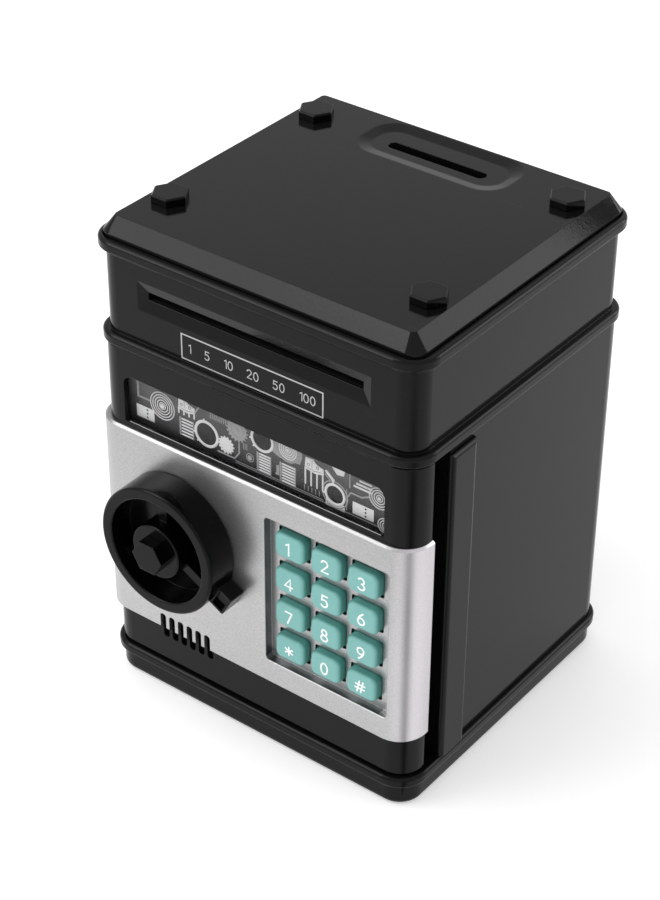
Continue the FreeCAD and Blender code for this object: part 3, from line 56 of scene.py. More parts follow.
# ---------------------------------------------------------------- shader helpers


class Finish:
    """One procedural material: a Principled shader and the few patterns that feed it, in metres."""

    def __init__(self, name, colour, roughness, **sockets):
        self.material = bpy.data.materials.new(name)
        self.material.use_nodes = True
        self.tree = self.material.node_tree
        self.shader = self.tree.nodes["Principled BSDF"]
        self.colour = (*colour, 1.0)
        self.shader.inputs["Base Color"].default_value = self.colour
        self.shader.inputs["Roughness"].default_value = roughness
        for socket, value in sockets.items():
            self.shader.inputs[socket.replace("_", " ")].default_value = value
        self.place = self.add("ShaderNodeTexCoord").outputs["Object"]
        self.normal = None

    def add(self, kind, **values):
        """A new node, with its plain settings given by name."""
        node = self.tree.nodes.new(kind)
        for key, value in values.items():
            setattr(node, key, value)
        return node

    def join(self, output, socket):
        self.tree.links.new(output, socket)

    def stretched(self, x, y, z):
        """The object's own coordinates, stretched along each axis."""
        mapping = self.add("ShaderNodeMapping")
        mapping.inputs["Scale"].default_value = (x, y, z)
        self.join(self.place, mapping.inputs["Vector"])
        return mapping.outputs["Vector"]

    def noise(self, scale, detail=3.0, roughness=0.55, place=None):
        """Soft noise with this many cells a metre."""
        node = self.add("ShaderNodeTexNoise")
        node.inputs["Scale"].default_value = scale
        node.inputs["Detail"].default_value = detail
        node.inputs["Roughness"].default_value = roughness
        self.join(place or self.place, node.inputs["Vector"])
        return node.outputs["Fac"]

    def cell_borders(self, scale):
        """Distance to the nearest border between scattered cells."""
        node = self.add("ShaderNodeTexVoronoi", feature="DISTANCE_TO_EDGE")
        node.inputs["Scale"].default_value = scale
        self.join(self.place, node.inputs["Vector"])
        return node.outputs["Distance"]

    def remap(self, source, low, high, to_low, to_high):
        """source between low and high, spread over to_low and to_high."""
        node = self.add("ShaderNodeMapRange", clamp=True)
        for socket, value in zip(("From Min", "From Max", "To Min", "To Max"), (low, high, to_low, to_high)):
            node.inputs[socket].default_value = value
        self.join(source, node.inputs["Value"])
        return node.outputs["Result"]

    def maths(self, operation, a, b):
        """a and b, each a socket or a number, joined by one operation."""
        node = self.add("ShaderNodeMath", operation=operation)
        for socket, value in zip(node.inputs, (a, b)):
            if isinstance(value, (int, float)):
                socket.default_value = value
            else:
                self.join(value, socket)
        return node.outputs["Value"]

    def tint(self, share, other):
        """Mixes the base colour towards another one, by share."""
        node = self.add("ShaderNodeMix", data_type="RGBA")
        base = self.shader.inputs["Base Color"]
        if base.is_linked:
            self.join(base.links[0].from_socket, node.inputs["A"])
        else:
            node.inputs["A"].default_value = self.colour
        node.inputs["B"].default_value = (*other, 1.0)
        self.join(share, node.inputs["Factor"])
        self.join(node.outputs["Result"], base)

    def roughen(self, share, low, high):
        """Drives the roughness between low and high by share."""
        self.join(self.remap(share, 0.0, 1.0, low, high), self.shader.inputs["Roughness"])

    def along(self, socket, axis):
        """One axis of the object's own coordinates or normal."""
        split = self.add("ShaderNodeSeparateXYZ")
        self.join(self.place.node.outputs[socket], split.inputs["Vector"])
        return split.outputs[axis]

    def sideways(self):
        """0 on faces that look along Y, 1 on their edges and walls."""
        return self.maths("SUBTRACT", 1.0, self.maths("ABSOLUTE", self.along("Normal", "Y"), 0.0))

    def soften(self, radius):
        """Rounds the look of sharp edges, so that they catch the light."""
        node = self.add("ShaderNodeBevel", samples=4)
        node.inputs["Radius"].default_value = radius
        self.shape_with(node)

    def bump(self, share, depth):
        """Raises the surface by share times depth, in metres, on top of earlier bumps."""
        node = self.add("ShaderNodeBump")
        node.inputs["Distance"].default_value = depth
        node.inputs["Strength"].default_value = 1.0
        self.join(share, node.inputs["Height"])
        if self.normal is not None:
            self.join(self.normal, node.inputs["Normal"])
        self.shape_with(node)

    def shape_with(self, node):
        """Makes this node's normal the one that the shader and the next bump use."""
        self.normal = node.outputs["Normal"]
        self.join(self.normal, self.shader.inputs["Normal"])


def moulded(name, colour, gloss, grain=0.000004, dust=(0.09, 0.09, 0.09), edge=0.0, **sockets):
    """Injection-moulded plastic: faint orange peel, uneven gloss, hairline scuffs and a little dust."""
    finish = Finish(name, colour, gloss, **sockets)
    if edge:
        finish.soften(edge)
    peel = finish.noise(900.0, 2.0)
    patch = finish.noise(28.0, 4.0)
    scuffs = finish.noise(60.0, 5.0, 0.7, finish.stretched(1.0, 9.0, 9.0))
    scuffed = finish.remap(scuffs, 0.62, 0.78, 0.0, 1.0)
    uneven = finish.maths("ADD", patch, finish.maths("MULTIPLY", scuffed, 0.5))
    finish.roughen(uneven, gloss * 0.75, gloss * 1.35)
    finish.tint(finish.remap(scuffed, 0.0, 1.0, 0.0, 0.09), dust)
    finish.bump(peel, grain * 4.0)
    finish.bump(finish.noise(5200.0, 1.0), grain)
    return finish.material


# ---------------------------------------------------------------- finishes


def silver_paint():
    """Satin silver lacquer with a fine metal fleck.

    Painted shade darkens it towards the top, on its bevels and on the walls of the keypad's pan, and a
    painted highlight makes it pale round the outer corner.
    """
    finish = Finish("silver_paint", (0.40, 0.394, 0.397), 0.30, Metallic=0.9, Specular_IOR_Level=0.4)
    finish.soften(0.0004)
    fleck = finish.noise(2900.0, 2.0, 0.7)
    finish.tint(finish.remap(fleck, 0.38, 0.62, 0.0, 1.0), (0.53, 0.523, 0.527))
    x, z, turned = finish.along("Object", "X"), finish.along("Object", "Z"), finish.sideways()

    # Painted shade: the silver darkens towards the top.
    painted_shade_low, painted_shade_high = 60.0 * MM, 108.0 * MM
    finish.tint(finish.remap(z, painted_shade_low, painted_shade_high, 0.0, 0.22), (0.12, 0.12, 0.12))
    flat_end, corner, corner_end = 56.0 * MM, 58.0 * MM, 64.0 * MM
    # Painted highlight: the outer corner is made pale, with a faint pink.
    finish.tint(finish.remap(x, corner, corner_end, 0.0, 0.4), (0.86, 0.81, 0.86))
    # Painted shade: the bevels are darkened, except round the outer corner.
    bevel = finish.remap(turned, 0.1, 0.3, 0.0, 0.5)
    flat = finish.remap(x, flat_end, corner, 1.0, 0.0)
    finish.tint(finish.maths("MULTIPLY", bevel, flat), (0.16, 0.16, 0.16))

    # Painted shade: the walls of the keypad's pan are darkened to a dark teal grey, as shade and reflections
    # of the keys.
    low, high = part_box("keypad_board")
    middle, reach = (low.x + high.x) / 2, (high.x - low.x) / 2
    side_fade, end_fade = 0.5 * MM, 1.0 * MM
    off_middle = finish.maths("ABSOLUTE", finish.maths("SUBTRACT", x, middle), 0.0)
    inside = finish.remap(off_middle, reach - side_fade, reach, 1.0, 0.0)
    below = finish.remap(z, high.z - end_fade, high.z, 1.0, 0.0)
    above = finish.remap(z, low.z, low.z + end_fade, 0.0, 1.0)
    walls = finish.maths("MULTIPLY", finish.remap(turned, 0.5, 0.9, 0.0, 0.8), inside)
    finish.tint(finish.maths("MULTIPLY", walls, finish.maths("MULTIPLY", below, above)), (0.07, 0.085, 0.084))

    finish.roughen(finish.noise(45.0, 4.0), 0.26, 0.36)
    finish.bump(fleck, 0.000012)
    return finish.material


def teal_keys():
    """Soft-gloss teal keys, slightly clouded, with painted shade that deepens the colour where the edge turns
    away.
    """
    finish = Finish("teal_keys", (0.184, 0.425, 0.402), 0.36, Specular_IOR_Level=0.3)
    finish.tint(finish.remap(finish.noise(180.0, 3.0), 0.3, 0.7, 0.0, 0.3), (0.214, 0.465, 0.442))
    # Painted shade: faces that turn away from the front are darkened to a deep teal.
    finish.tint(finish.remap(finish.sideways(), 0.12, 0.85, 0.0, 0.7), (0.022, 0.20, 0.165))
    finish.roughen(finish.noise(240.0, 3.0), 0.32, 0.46)
    finish.bump(finish.noise(2600.0, 2.0), 0.000008)
    return finish.material


def ink(name, colour, wear=(0.5, 0.5, 0.5)):
    """Pad-printed ink: slightly raised, a little worn and uneven."""
    finish = Finish(name, colour, 0.5, Specular_IOR_Level=0.4)
    finish.tint(finish.remap(finish.noise(900.0, 4.0), 0.55, 0.8, 0.0, 0.35), wear)
    finish.roughen(finish.noise(400.0), 0.42, 0.6)
    finish.bump(finish.noise(4000.0), 0.000006)
    return finish.material


def clear_plastic():
    """Clear polystyrene: mostly open, with a clean gloss."""
    finish = Finish("clear_lens", (0.01, 0.01, 0.01), 0.03, Alpha=0.06, IOR=1.3, Specular_IOR_Level=0.25)
    finish.roughen(finish.noise(60.0, 4.0), 0.02, 0.08)
    return finish.material


def metal(name, colour, gloss):
    """Bright metal with fine marks and slight tarnish."""
    finish = Finish(name, colour, gloss, Metallic=1.0)
    marks = finish.noise(1400.0, 2.0, 0.6)
    finish.tint(finish.remap(finish.noise(90.0, 4.0), 0.45, 0.75, 0.0, 0.5), tuple(c * 0.62 for c in colour))
    finish.roughen(marks, gloss * 0.7, gloss * 1.5)
    finish.bump(marks, 0.000006)
    return finish.material


def board_laminate():
    """Green solder mask over faint copper tracks."""
    finish = Finish("board_green", (0.012, 0.11, 0.035), 0.35)
    tracks = finish.remap(finish.cell_borders(420.0), 0.02, 0.06, 1.0, 0.0)
    finish.tint(finish.maths("MULTIPLY", tracks, 0.6), (0.05, 0.22, 0.06))
    finish.roughen(finish.noise(300.0), 0.28, 0.45)
    finish.bump(tracks, 0.00003)
    return finish.material


def wound_copper():
    """Enamelled wire in close turns, wound round the upright bore."""
    finish = Finish("coil_copper", (0.62, 0.24, 0.09), 0.3, Metallic=1.0)
    wave = finish.add("ShaderNodeTexWave", bands_direction="Z")
    wave.inputs["Scale"].default_value = 900.0
    wave.inputs["Distortion"].default_value = 0.4
    finish.join(finish.place, wave.inputs["Vector"])
    finish.tint(finish.remap(wave.outputs["Fac"], 0.0, 0.5, 0.7, 0.0), (0.18, 0.05, 0.02))
    finish.roughen(finish.noise(200.0), 0.22, 0.42)
    finish.bump(wave.outputs["Fac"], 0.00015)
    return finish.material


def soft_rubber(name, colour, rough):
    """Matt rubber or silicone with a fine pitted skin."""
    finish = Finish(name, colour, rough, Specular_IOR_Level=0.35)
    dusty = tuple(c * 1.6 + 0.01 for c in colour)
    finish.tint(finish.remap(finish.noise(70.0, 5.0), 0.4, 0.8, 0.0, 0.5), dusty)
    finish.roughen(finish.noise(120.0, 4.0), rough * 0.85, rough * 1.15)
    finish.bump(finish.noise(3200.0, 2.0), 0.00002)
    return finish.material


def print_backing():
    """The printed sheet behind the window: grey, lighter at the top and nearly black along the bottom."""
    finish = Finish("print_backing", (0.022, 0.022, 0.023), 0.5)
    low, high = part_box("window_plate")
    dark_foot = 3.0 * MM
    rise = finish.remap(finish.along("Object", "Z"), low.z + dark_foot, high.z, 0.0, 1.0)
    cloud = finish.remap(finish.noise(110.0, 4.0), 0.3, 0.7, 0.4, 1.0)
    finish.tint(finish.maths("MULTIPLY", rise, cloud), (0.17, 0.17, 0.174))
    finish.roughen(finish.noise(200.0), 0.42, 0.6)
    finish.bump(finish.noise(1500.0), 0.000008)
    return finish.material


def cell_wrap():
    """Shrink-wrapped battery cells: a glossy dark blue sleeve, clouded and slightly wrinkled."""
    finish = Finish("cell_wrap", (0.02, 0.035, 0.06), 0.28)
    finish.tint(finish.remap(finish.noise(50.0), 0.4, 0.7, 0.0, 0.4), (0.05, 0.07, 0.10))
    finish.roughen(finish.noise(160.0), 0.2, 0.4)
    finish.bump(finish.noise(1800.0), 0.00001)
    return finish.material


FINISHES = {
    "case_black": moulded("case_black", (0.0038, 0.0038, 0.0039), 0.10, edge=0.0004, Specular_IOR_Level=0.13),
    "trim_black": moulded("trim_black", (0.0012, 0.0012, 0.0013), 0.17, edge=0.0005, Specular_IOR_Level=0.12),
    "inner_black": moulded("inner_black", (0.008, 0.008, 0.008), 0.42, 0.000012, Specular_IOR_Level=0.3),
    "panel_silver": silver_paint(),
    "key_teal": teal_keys(),
    "lens_clear": clear_plastic(),
    "print_grey": print_backing(),
    "steel": metal("steel", (0.60, 0.59, 0.57), 0.28),
    "rubber_black": soft_rubber("rubber_black", (0.014, 0.014, 0.014), 0.7),
    "silicone_grey": soft_rubber("silicone_grey", (0.20, 0.20, 0.21), 0.6),
    "nylon_white": moulded("nylon_white", (0.72, 0.70, 0.65), 0.38, 0.00001, (0.5, 0.48, 0.42)),
    "board_green": board_laminate(),
    "coil_copper": wound_copper(),
    "speaker_dark": soft_rubber("speaker_dark", (0.02, 0.02, 0.021), 0.75),
    "cell_wrap": cell_wrap(),
}


def dress_nodes():
    """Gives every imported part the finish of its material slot."""
    for node in NODES.values():
        for holder in node.material_slots:
            slot_name = holder.material.name.split(".")[0]
            holder.material = FINISHES[slot_name]


# ---------------------------------------------------------------- printing and raised shapes

# Across a stroke from side to side, the shares of its half width and of its height.
DOME = ((-1.0, 0.0), (-0.88, 0.6), (-0.5, 0.95), (0.0, 1.0), (0.5, 0.95), (0.88, 0.6), (1.0, 0.0))
# Out over a stroke's round end, the share of its half width, and how much of its section is left there.
CAP = ((0.5, 0.87), (0.87, 0.5), (0.98, 0.15))


class Relief:
    """Thin raised shapes on a wall, gathered into one mesh.

    The origin is in metres. Places on the wall (u along X, v along Z) and heights are in millimetres.
    The wall faces -Y, or +Y where facing is 1.
    """

    def __init__(self, x, y, z, facing=-1.0):
        self.origin = Vector((x, y, z))
        self.facing = facing
        self.mesh = bmesh.new()

    def vertex(self, u, v, up):
        return self.mesh.verts.new(self.origin + Vector((u, self.facing * up, v)) * MM)

    def section(self, centre, side, half, height):
        """One domed cross-section of a stroke."""
        return [self.vertex(*(centre + side * half * a), height * b) for a, b in DOME]

    def round_end(self, point, outward, side, half, height):
        """The shrinking cross-sections past one end of a stroke, from the stroke outwards."""
        return [self.section(point + outward * reach * half, side, half * share, height * share)
                for reach, share in CAP]

    def stroke(self, path, width, height, closed=False):
        """A domed line along the path, with round ends."""
        points = [Vector(point) for point in path]
        count = len(points)
        half = width / 2
        sections = []
        for i, point in enumerate(points):
            before = (point - points[i - 1]).normalized() if closed or i else None
            after = (points[(i + 1) % count] - point).normalized() if closed or i < count - 1 else None
            before = before or after
            after = after or before
            along = (before + after).normalized()
            stretch = min(1.5, 1.0 / max(0.5, along.dot(after)))
            side = Vector((-along.y, along.x)) * stretch
            if not closed and i == 0:
                sections.extend(self.round_end(point, -along, side, half, height)[::-1])
            sections.append(self.section(point, side, half, height))
            if not closed and i == count - 1:
                sections.extend(self.round_end(point, along, side, half, height))
        pairs = list(zip(sections, sections[1:]))
        if closed:
            pairs.append((sections[-1], sections[0]))
        for first, second in pairs:
            for a in range(len(DOME) - 1):
                self.mesh.faces.new((first[a], first[a + 1], second[a + 1], second[a]))
        if not closed:
            self.mesh.faces.new(sections[0])
            self.mesh.faces.new(sections[-1][::-1])

    def slab(self, outline, height, bevel=0.12):
        """A flat plate with bevelled edges; the outline runs anticlockwise."""
        points = [Vector(point) for point in outline]
        count = len(points)
        inner = []
        for i, point in enumerate(points):
            before = (point - points[i - 1]).normalized()
            after = (points[(i + 1) % count] - point).normalized()
            along = (before + after).normalized()
            inward = Vector((-along.y, along.x))
            inner.append(point + inward * bevel / max(0.4, along.dot(after)))
        rings = [[self.vertex(p.x, p.y, up) for p in ring]
                 for ring, up in ((points, 0.0), (points, height - min(bevel, height / 2)), (inner, height))]
        for low, high in zip(rings, rings[1:]):
            for i in range(count):
                j = (i + 1) % count
                self.mesh.faces.new((low[i], low[j], high[j], high[i]))
        self.mesh.faces.new(rings[-1])

    def block(self, u, v, wide, high, height, bevel=0.12):
        """A slab with square corners, from its lower left one."""
        self.slab([(u, v), (u + wide, v), (u + wide, v + high), (u, v + high)], height, bevel)

    def ring(self, u, v, radius, width, height):
        """A domed ring round a point."""
        self.stroke(arc(u, v, radius, radius, 0, 360)[:-1], width, height, True)

    def disc(self, u, v, radius, height):
        """A flat round plate with a bevelled edge."""
        self.slab(arc(u, v, radius, radius, 0, 360)[:-1], height)

    def done(self, name, finish, body, slot=None):
        """Turns the shapes into one object that rides on a body."""
        bmesh.ops.recalc_face_normals(self.mesh, faces=self.mesh.faces)
        data = bpy.data.meshes.new(name)
        self.mesh.to_mesh(data)
        self.mesh.free()
        data.materials.append(finish)
        piece = bpy.data.objects.new(name, data)
        bpy.context.scene.collection.objects.link(piece)
        data.shade_smooth()
        data.set_sharp_from_angle(angle=math.radians(40.0))
        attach(piece, body)


def arc(u, v, radius_u, radius_v, start, end, steps=20):
    """Points of an ellipse's arc, by angles in degrees."""
    angles = [math.radians(start + (end - start) * i / steps) for i in range(steps + 1)]
    return [(u + radius_u * math.cos(a), v + radius_v * math.sin(a)) for a in angles]


# Strokes as (points, closed), in millimetres from the middle of a cell that is GLYPH_HIGH tall.
GLYPH_HIGH = 4.6
GLYPHS = {
    "0": [(arc(0, 0, 1.32, 2.3, 0, 342, 19), True)],
    "1": [([(-0.85, 1.55), (0.2, 2.3), (0.2, -2.3)], False)],
    "2": [(arc(-0.05, 1.1, 1.25, 1.2, 165, -35, 12) + [(-1.3, -2.25), (1.4, -2.25)], False)],
    "3": [(arc(-0.2, 1.15, 1.15, 1.15, 150, -80, 12) + arc(-0.2, -1.1, 1.35, 1.2, 80, -150, 14), False)],
    "4": [([(0.75, -2.3), (0.75, 2.25), (-1.5, -0.95), (1.6, -0.95)], False)],
    "5": [([(1.15, 2.25), (-0.9, 2.25), (-1.05, 0.35)] + arc(-0.15, -0.8, 1.35, 1.45, 115, -145, 14), False)],
    "6": [(arc(0, -0.95, 1.3, 1.35, 0, 342, 19), True),
          ([(0.7, 2.3), (-0.35, 1.3), (-1.0, 0.2), (-1.28, -0.8)], False)],
    "7": [([(-1.35, 2.25), (1.35, 2.25), (-0.45, -2.3)], False)],
    "8": [(arc(0, 1.2, 1.02, 1.1, 0, 342, 19), True), (arc(0, -1.15, 1.3, 1.2, 0, 342, 19), True)],
    "star": [([(math.cos(a) * 1.65, math.sin(a) * 1.65), (-math.cos(a) * 1.65, -math.sin(a) * 1.65)], False)
             for a in (math.radians(d) for d in (30, 90, 150))],
    "hash": [([(-1.2, -2.2), (-0.3, 2.2)], False), ([(0.3, -2.2), (1.2, 2.2)], False),
             ([(-1.75, 0.75), (1.95, 0.75)], False), ([(-1.95, -0.8), (1.75, -0.8)], False)],
}
GLYPHS["9"] = [([(-u, -v) for u, v in path], closed) for path, closed in GLYPHS["6"]]


def digit_advance(digit, height):
    """How far along the next digit starts, after one of this height."""
    return (2.6 if digit == "1" else 3.9) * height / GLYPH_HIGH


def write(relief, text, u, v, height, width, raised):
    """Digits from u rightwards, standing on v; returns where the next one would start."""
    scale = height / GLYPH_HIGH
    half_wide, half_high = 1.6, GLYPH_HIGH / 2
    for digit in text:
        for path, closed in GLYPHS[digit]:
            placed = [(u + (a + half_wide) * scale, v + (b + half_high) * scale) for a, b in path]
            relief.stroke(placed, width, raised, closed)
        u += digit_advance(digit, height)
    return u


def front_of(node, x, z):
    """Where a line along +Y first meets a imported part."""
    start, forward = Vector((x, -1.0, z)), Vector((0.0, 1.0, 0.0))
    hit, place, *_ = NODES[node].ray_cast(start, forward)
    if not hit:
        raise RuntimeError(f"nothing of {node} at {x}, {z}")
    return place.y


def print_keys(finish):
    """A digit, star or hash on the crown of each key."""
    sunk, drop = 0.02 * MM, 0.1 * MM
    line_width, raised = 0.70, 0.09
    for name in NODES:
        glyph = name.removeprefix("key_")
        if glyph == name or glyph not in GLYPHS:
            continue
        low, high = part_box(name)
        relief = Relief((low.x + high.x) / 2, low.y + sunk, (low.z + high.z) / 2 - drop)
        for path, closed in GLYPHS[glyph]:
            relief.stroke(path, line_width, raised, closed)
        relief.done(f"legend_{glyph}", finish, name)


def print_label(finish):
    """A pale frame and a plain row of numbers on the head, under the note slot."""
    frame_half, frame_high, frame_line = 28.6, 9.1, 0.55
    digit_high, digit_line, raised = 3.1, 0.42, 0.05
    left_margin, right_margin = 2.6, 2.4
    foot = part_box("head_shell")[0].z + 5.0 * MM
    wall = front_of("head_shell", 0.0, foot + frame_high / 2 * MM)
    relief = Relief(0.0, wall + 0.01 * MM, foot)
    corners = [(-frame_half, 0), (frame_half, 0), (frame_half, frame_high), (-frame_half, frame_high)]
    relief.stroke(corners, frame_line, raised, True)
    numbers = ("1", "5", "10", "20", "50", "100")
    written = sum(digit_advance(digit, digit_high) for number in numbers for digit in number)
    gap = (2 * frame_half - left_margin - right_margin - written) / (len(numbers) - 1)
    u, v = left_margin - frame_half, (frame_high - digit_high) / 2
    for number in numbers:
        u = write(relief, number, u, v, digit_high, digit_line, raised) + gap
    relief.done("head_label", finish, "case")


def separate_solids(node):
    """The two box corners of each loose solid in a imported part."""
    weld = 0.001 * MM
    mesh = bmesh.new()
    mesh.from_mesh(NODES[node].data)
    bmesh.ops.remove_doubles(mesh, verts=mesh.verts, dist=weld)
    seen = set()
    boxes = []
    for start in mesh.verts:
        if start in seen:
            continue
        seen.add(start)
        queue, places = [start], []
        while queue:
            vertex = queue.pop()
            places.append(vertex.co.copy())
            for edge in vertex.link_edges:
                other = edge.other_vert(vertex)
                if other not in seen:
                    seen.add(other)
                    queue.append(other)
        boxes.append([Vector([pick(place[axis] for place in places) for axis in range(3)])
                      for pick in (min, max)])
    mesh.free()
    return boxes


def mark_screws(finish):
    """A dark painted cross on each screw of the door's inner cover, as painted shade in place of a cross
    recess, each turned to its own angle.
    """
    line_width, raised, sunk = 0.55, 0.04, 0.01 * MM
    for number, (low, high) in enumerate(separate_solids("lid_screws"), start=1):
        relief = Relief((low.x + high.x) / 2, high.y - sunk, (low.z + high.z) / 2, 1.0)
        turn = 20.0 + 31.0 * number
        for a in (math.radians(turn), math.radians(turn + 90.0)):
            relief.stroke([(-math.cos(a), -math.sin(a)), (math.cos(a), math.sin(a))], line_width, raised)
        relief.done(f"screw_cross_{number}", finish, "door")


def shield_boards(finish):
    """A thin wall inside the door that closes the keypad's boards off on the hinge side."""
    low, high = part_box("key_mat")
    clear, sunk = 0.5 * MM, 1.3 * MM
    thick, deep = 0.6, 6.5
    relief = Relief(high.x + clear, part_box("door_lid")[0].y + sunk, low.z)
    relief.block(0, 0, thick, (high.z - low.z) / MM, deep)
    relief.done("board_shield", finish, "door", "inner_black")


# ---------------------------------------------------------------- machine picture behind the window


def coil_spring(relief, u, v, long, high, turns):
    """Close slanting bars, like a spring seen from the side."""
    for i in range(turns):
        x = u + long * i / (turns - 1)
        relief.stroke([(x, v), (x + 0.25, v + high)], 0.42, 0.2)


def rack(relief, bars_to, u, v, wide, high, bars):
    """A frame with a stack of slats between two rails."""
    relief.block(u - 0.5, v, 0.75, high, 0.16)
    for i in range(bars):
        level = v + 0.5 + (high - 1.0) * i / (bars - 1)
        bars_to.stroke([(u + 0.7, level), (u + wide, level)], 0.62, 0.26)
    relief.block(u + wide, v, 0.5, high, 0.16)


def gauge(relief, u, v, radius, rings):
    """Nested rings round a hub."""
    for i in range(rings):
        relief.ring(u, v, radius * (1 - i / (rings + 0.3)), 0.38, 0.24 - 0.04 * i)
    relief.disc(u, v, radius * 0.16, 0.3)


def gear_wheel(relief, u, v, radius, teeth):
    """A toothed wheel with a raised rim and hub."""
    outline = []
    for i in range(teeth):
        for share, reach in ((-0.32, 0.84), (-0.18, 1.0), (0.18, 1.0), (0.32, 0.84)):
            angle = 2 * math.pi * (i + share) / teeth
            outline.append((u + radius * reach * math.cos(angle), v + radius * reach * math.sin(angle)))
    relief.slab(outline, 0.14, 0.06)
    relief.ring(u, v, radius * 0.55, 0.35, 0.26)
    relief.disc(u, v, radius * 0.2, 0.32)


def dial(relief, mesh, u, v, radius, width):
    """A bright ring round a dark barred centre, with bolts at its side."""
    mesh.disc(u, v, radius * 0.86, 0.06)
    for i in range(-3, 4):
        offset = radius * 0.2 * i
        half = math.sqrt((radius * 0.8) ** 2 - offset ** 2)
        mesh.stroke([(u + offset, v - half), (u + offset, v + half)], 0.2, 0.14)
    relief.ring(u, v, radius, width, 0.34)
    for turn in (100, 190, 225):
        a = math.radians(turn)
        relief.disc(u + (radius + 0.75) * math.cos(a), v + (radius + 0.75) * math.sin(a), 0.35, 0.3)


def comb(relief, dark, u, v, wide, low):
    """A cast block with four pipes hanging from it, two dark seams and two bolts."""
    relief.slab([(u, v), (u + wide * 0.55, v - 0.6), (u + wide, v + 0.2), (u + wide, v + 2.4),
                 (u + wide * 0.62, v + 3.2), (u + wide * 0.45, v + 4.6), (u + 0.3, v + 4.4)], 0.3, 0.2)
    for i in range(4):
        x = u + 0.2 + (wide - 0.6) * i / 3
        relief.stroke([(x, v + 0.4), (x, low)], 0.62, 0.24)
    dark.stroke([(u + 0.6, v + 0.9), (u + wide * 0.5, v + 0.4), (u + wide - 0.6, v + 1.0)], 0.22, 0.36)
    dark.stroke([(u + wide * 0.4, v + 1.2), (u + wide * 0.4, v + 4.0)], 0.22, 0.36)
    for i in range(2):
        dark.ring(u + 1.6 + 3.6 * i, v + 2.1, 0.5, 0.2, 0.4)


def port_plate(relief, mesh, u, v, wide, high):
    """A bright plate with a row of dark ports and a dial."""
    relief.block(u, v, wide, high, 0.12, 0.1)
    for i in range(3):
        mesh.disc(u + wide * 0.62, v + high * (0.2 + 0.3 * i), 0.42, 0.2)
    relief.ring(u + wide * 0.25, v + high * 0.45, 0.9, 0.3, 0.26)
    for a, b in ((0.08, 0.1), (0.92, 0.1), (0.08, 0.9), (0.92, 0.9)):
        relief.disc(u + wide * a, v + high * b, 0.22, 0.2)


def paint_lens_highlight(finish):
    """A painted highlight: a bright line along the window's lower edge, where light would gather."""
    low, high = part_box("window_lens")
    side_clear, lift, raised = 3.0 * MM, 1.55 * MM, 0.02 * MM
    half = ((high.x - low.x) / 2 - side_clear) / MM
    relief = Relief(0.0, low.y - raised, low.z + lift)
    relief.stroke([(-half, 0.0), (half, 0.0)], 0.2, 0.06)
    relief.done("painted_lens_highlight", finish, "door", "lens_clear")


def picture_middle(soft, lit, mesh):
    """Two racks, a big dial, a gauge under a hood, hanging pipes and a dial on the right."""
    rack(soft, lit, 0.4, 0.9, 5.0, 7.3, 7)
    rack(soft, lit, 9.9, 0.7, 5.6, 7.6, 7)
    soft.slab([(8.1, 2.6), (9.2, 2.6), (9.2, 6.6), (8.1, 6.2)], 0.14)
    soft.disc(8.3, 3.1, 0.55, 0.3)
    soft.disc(-2.9, 4.4, 0.95, 0.34)
    soft.ring(-2.9, 4.4, 1.5, 0.3, 0.16)
    dial(lit, mesh, 2.3, 13.6, 4.3, 1.0)
    soft.slab([(6.4, 10.9), (9.5, 9.7), (17.6, 10.4), (18.6, 13.2), (18.2, 16.6), (6.8, 16.6)], 0.08)
    gauge(lit, 12.8, 14.0, 3.5, 4)
    soft.stroke(arc(12.8, 14.0, 4.6, 4.4, 190, 350, 18), 0.7, 0.26)
    comb(lit, mesh, 19.7, 10.2, 7.6, 4.3)
    lit.stroke([(28.4, 12.6), (31.2, 10.2)], 1.1, 0.34)
    soft.stroke([(27.9, 11.3), (30.2, 9.4)], 0.5, 0.2)
    lit.slab([(30.4, 15.4), (32.6, 12.9), (35.2, 13.4), (36.0, 16.6), (31.0, 17.0)], 0.2)
    lit.slab([(28.0, -0.4), (35.7, -0.4), (35.7, 2.0), (34.0, 2.6), (29.6, 2.6), (28.0, 2.0)], 0.06)
    dial(lit, mesh, 31.8, 4.9, 3.75, 1.0)
    soft.ring(31.8, 4.9, 5.0, 0.5, 0.1)


def picture_right(soft, lit, mesh):
    """Three bars that start further along the higher they lie, two gauges, pipes and a port plate."""
    lowest, end = 11.7, 46.0
    for lift in (0.0, 1.3, 2.8):
        lit.stroke([(39.4 + lift * 0.8, lowest + lift), (end, lowest + lift)], 0.75, 0.3)
    soft.stroke([(37.6, 10.2), (37.6, 15.6), (46.2, 16.2)], 0.5, 0.2)
    gauge(lit, 49.2, 11.0, 3.9, 4)
    soft.stroke([(45.4, 10.0), (42.4, 8.4), (38.0, 8.4), (37.0, 6.6)], 0.6, 0.22)
    port_plate(lit, mesh, 38.8, 0.9, 8.3, 4.6)
    gauge(lit, 51.6, 1.4, 2.8, 3)
    soft.stroke([(36.4, 1.0), (36.4, 9.0)], 0.35, 0.14)


def picture_sill(soft):
    """Two long lines near the sill and five ticks over them."""
    soft.stroke([(-9.0, 0.7), (27.0, 0.7)], 0.3, 0.08)
    soft.stroke([(-9.0, 0.0), (53.0, 0.05)], 0.3, 0.08)
    for u in (19.5, 21.0, 22.5, 24.0, 25.5):
        soft.stroke([(u, 1.6), (u, 3.4)], 0.3, 0.1)


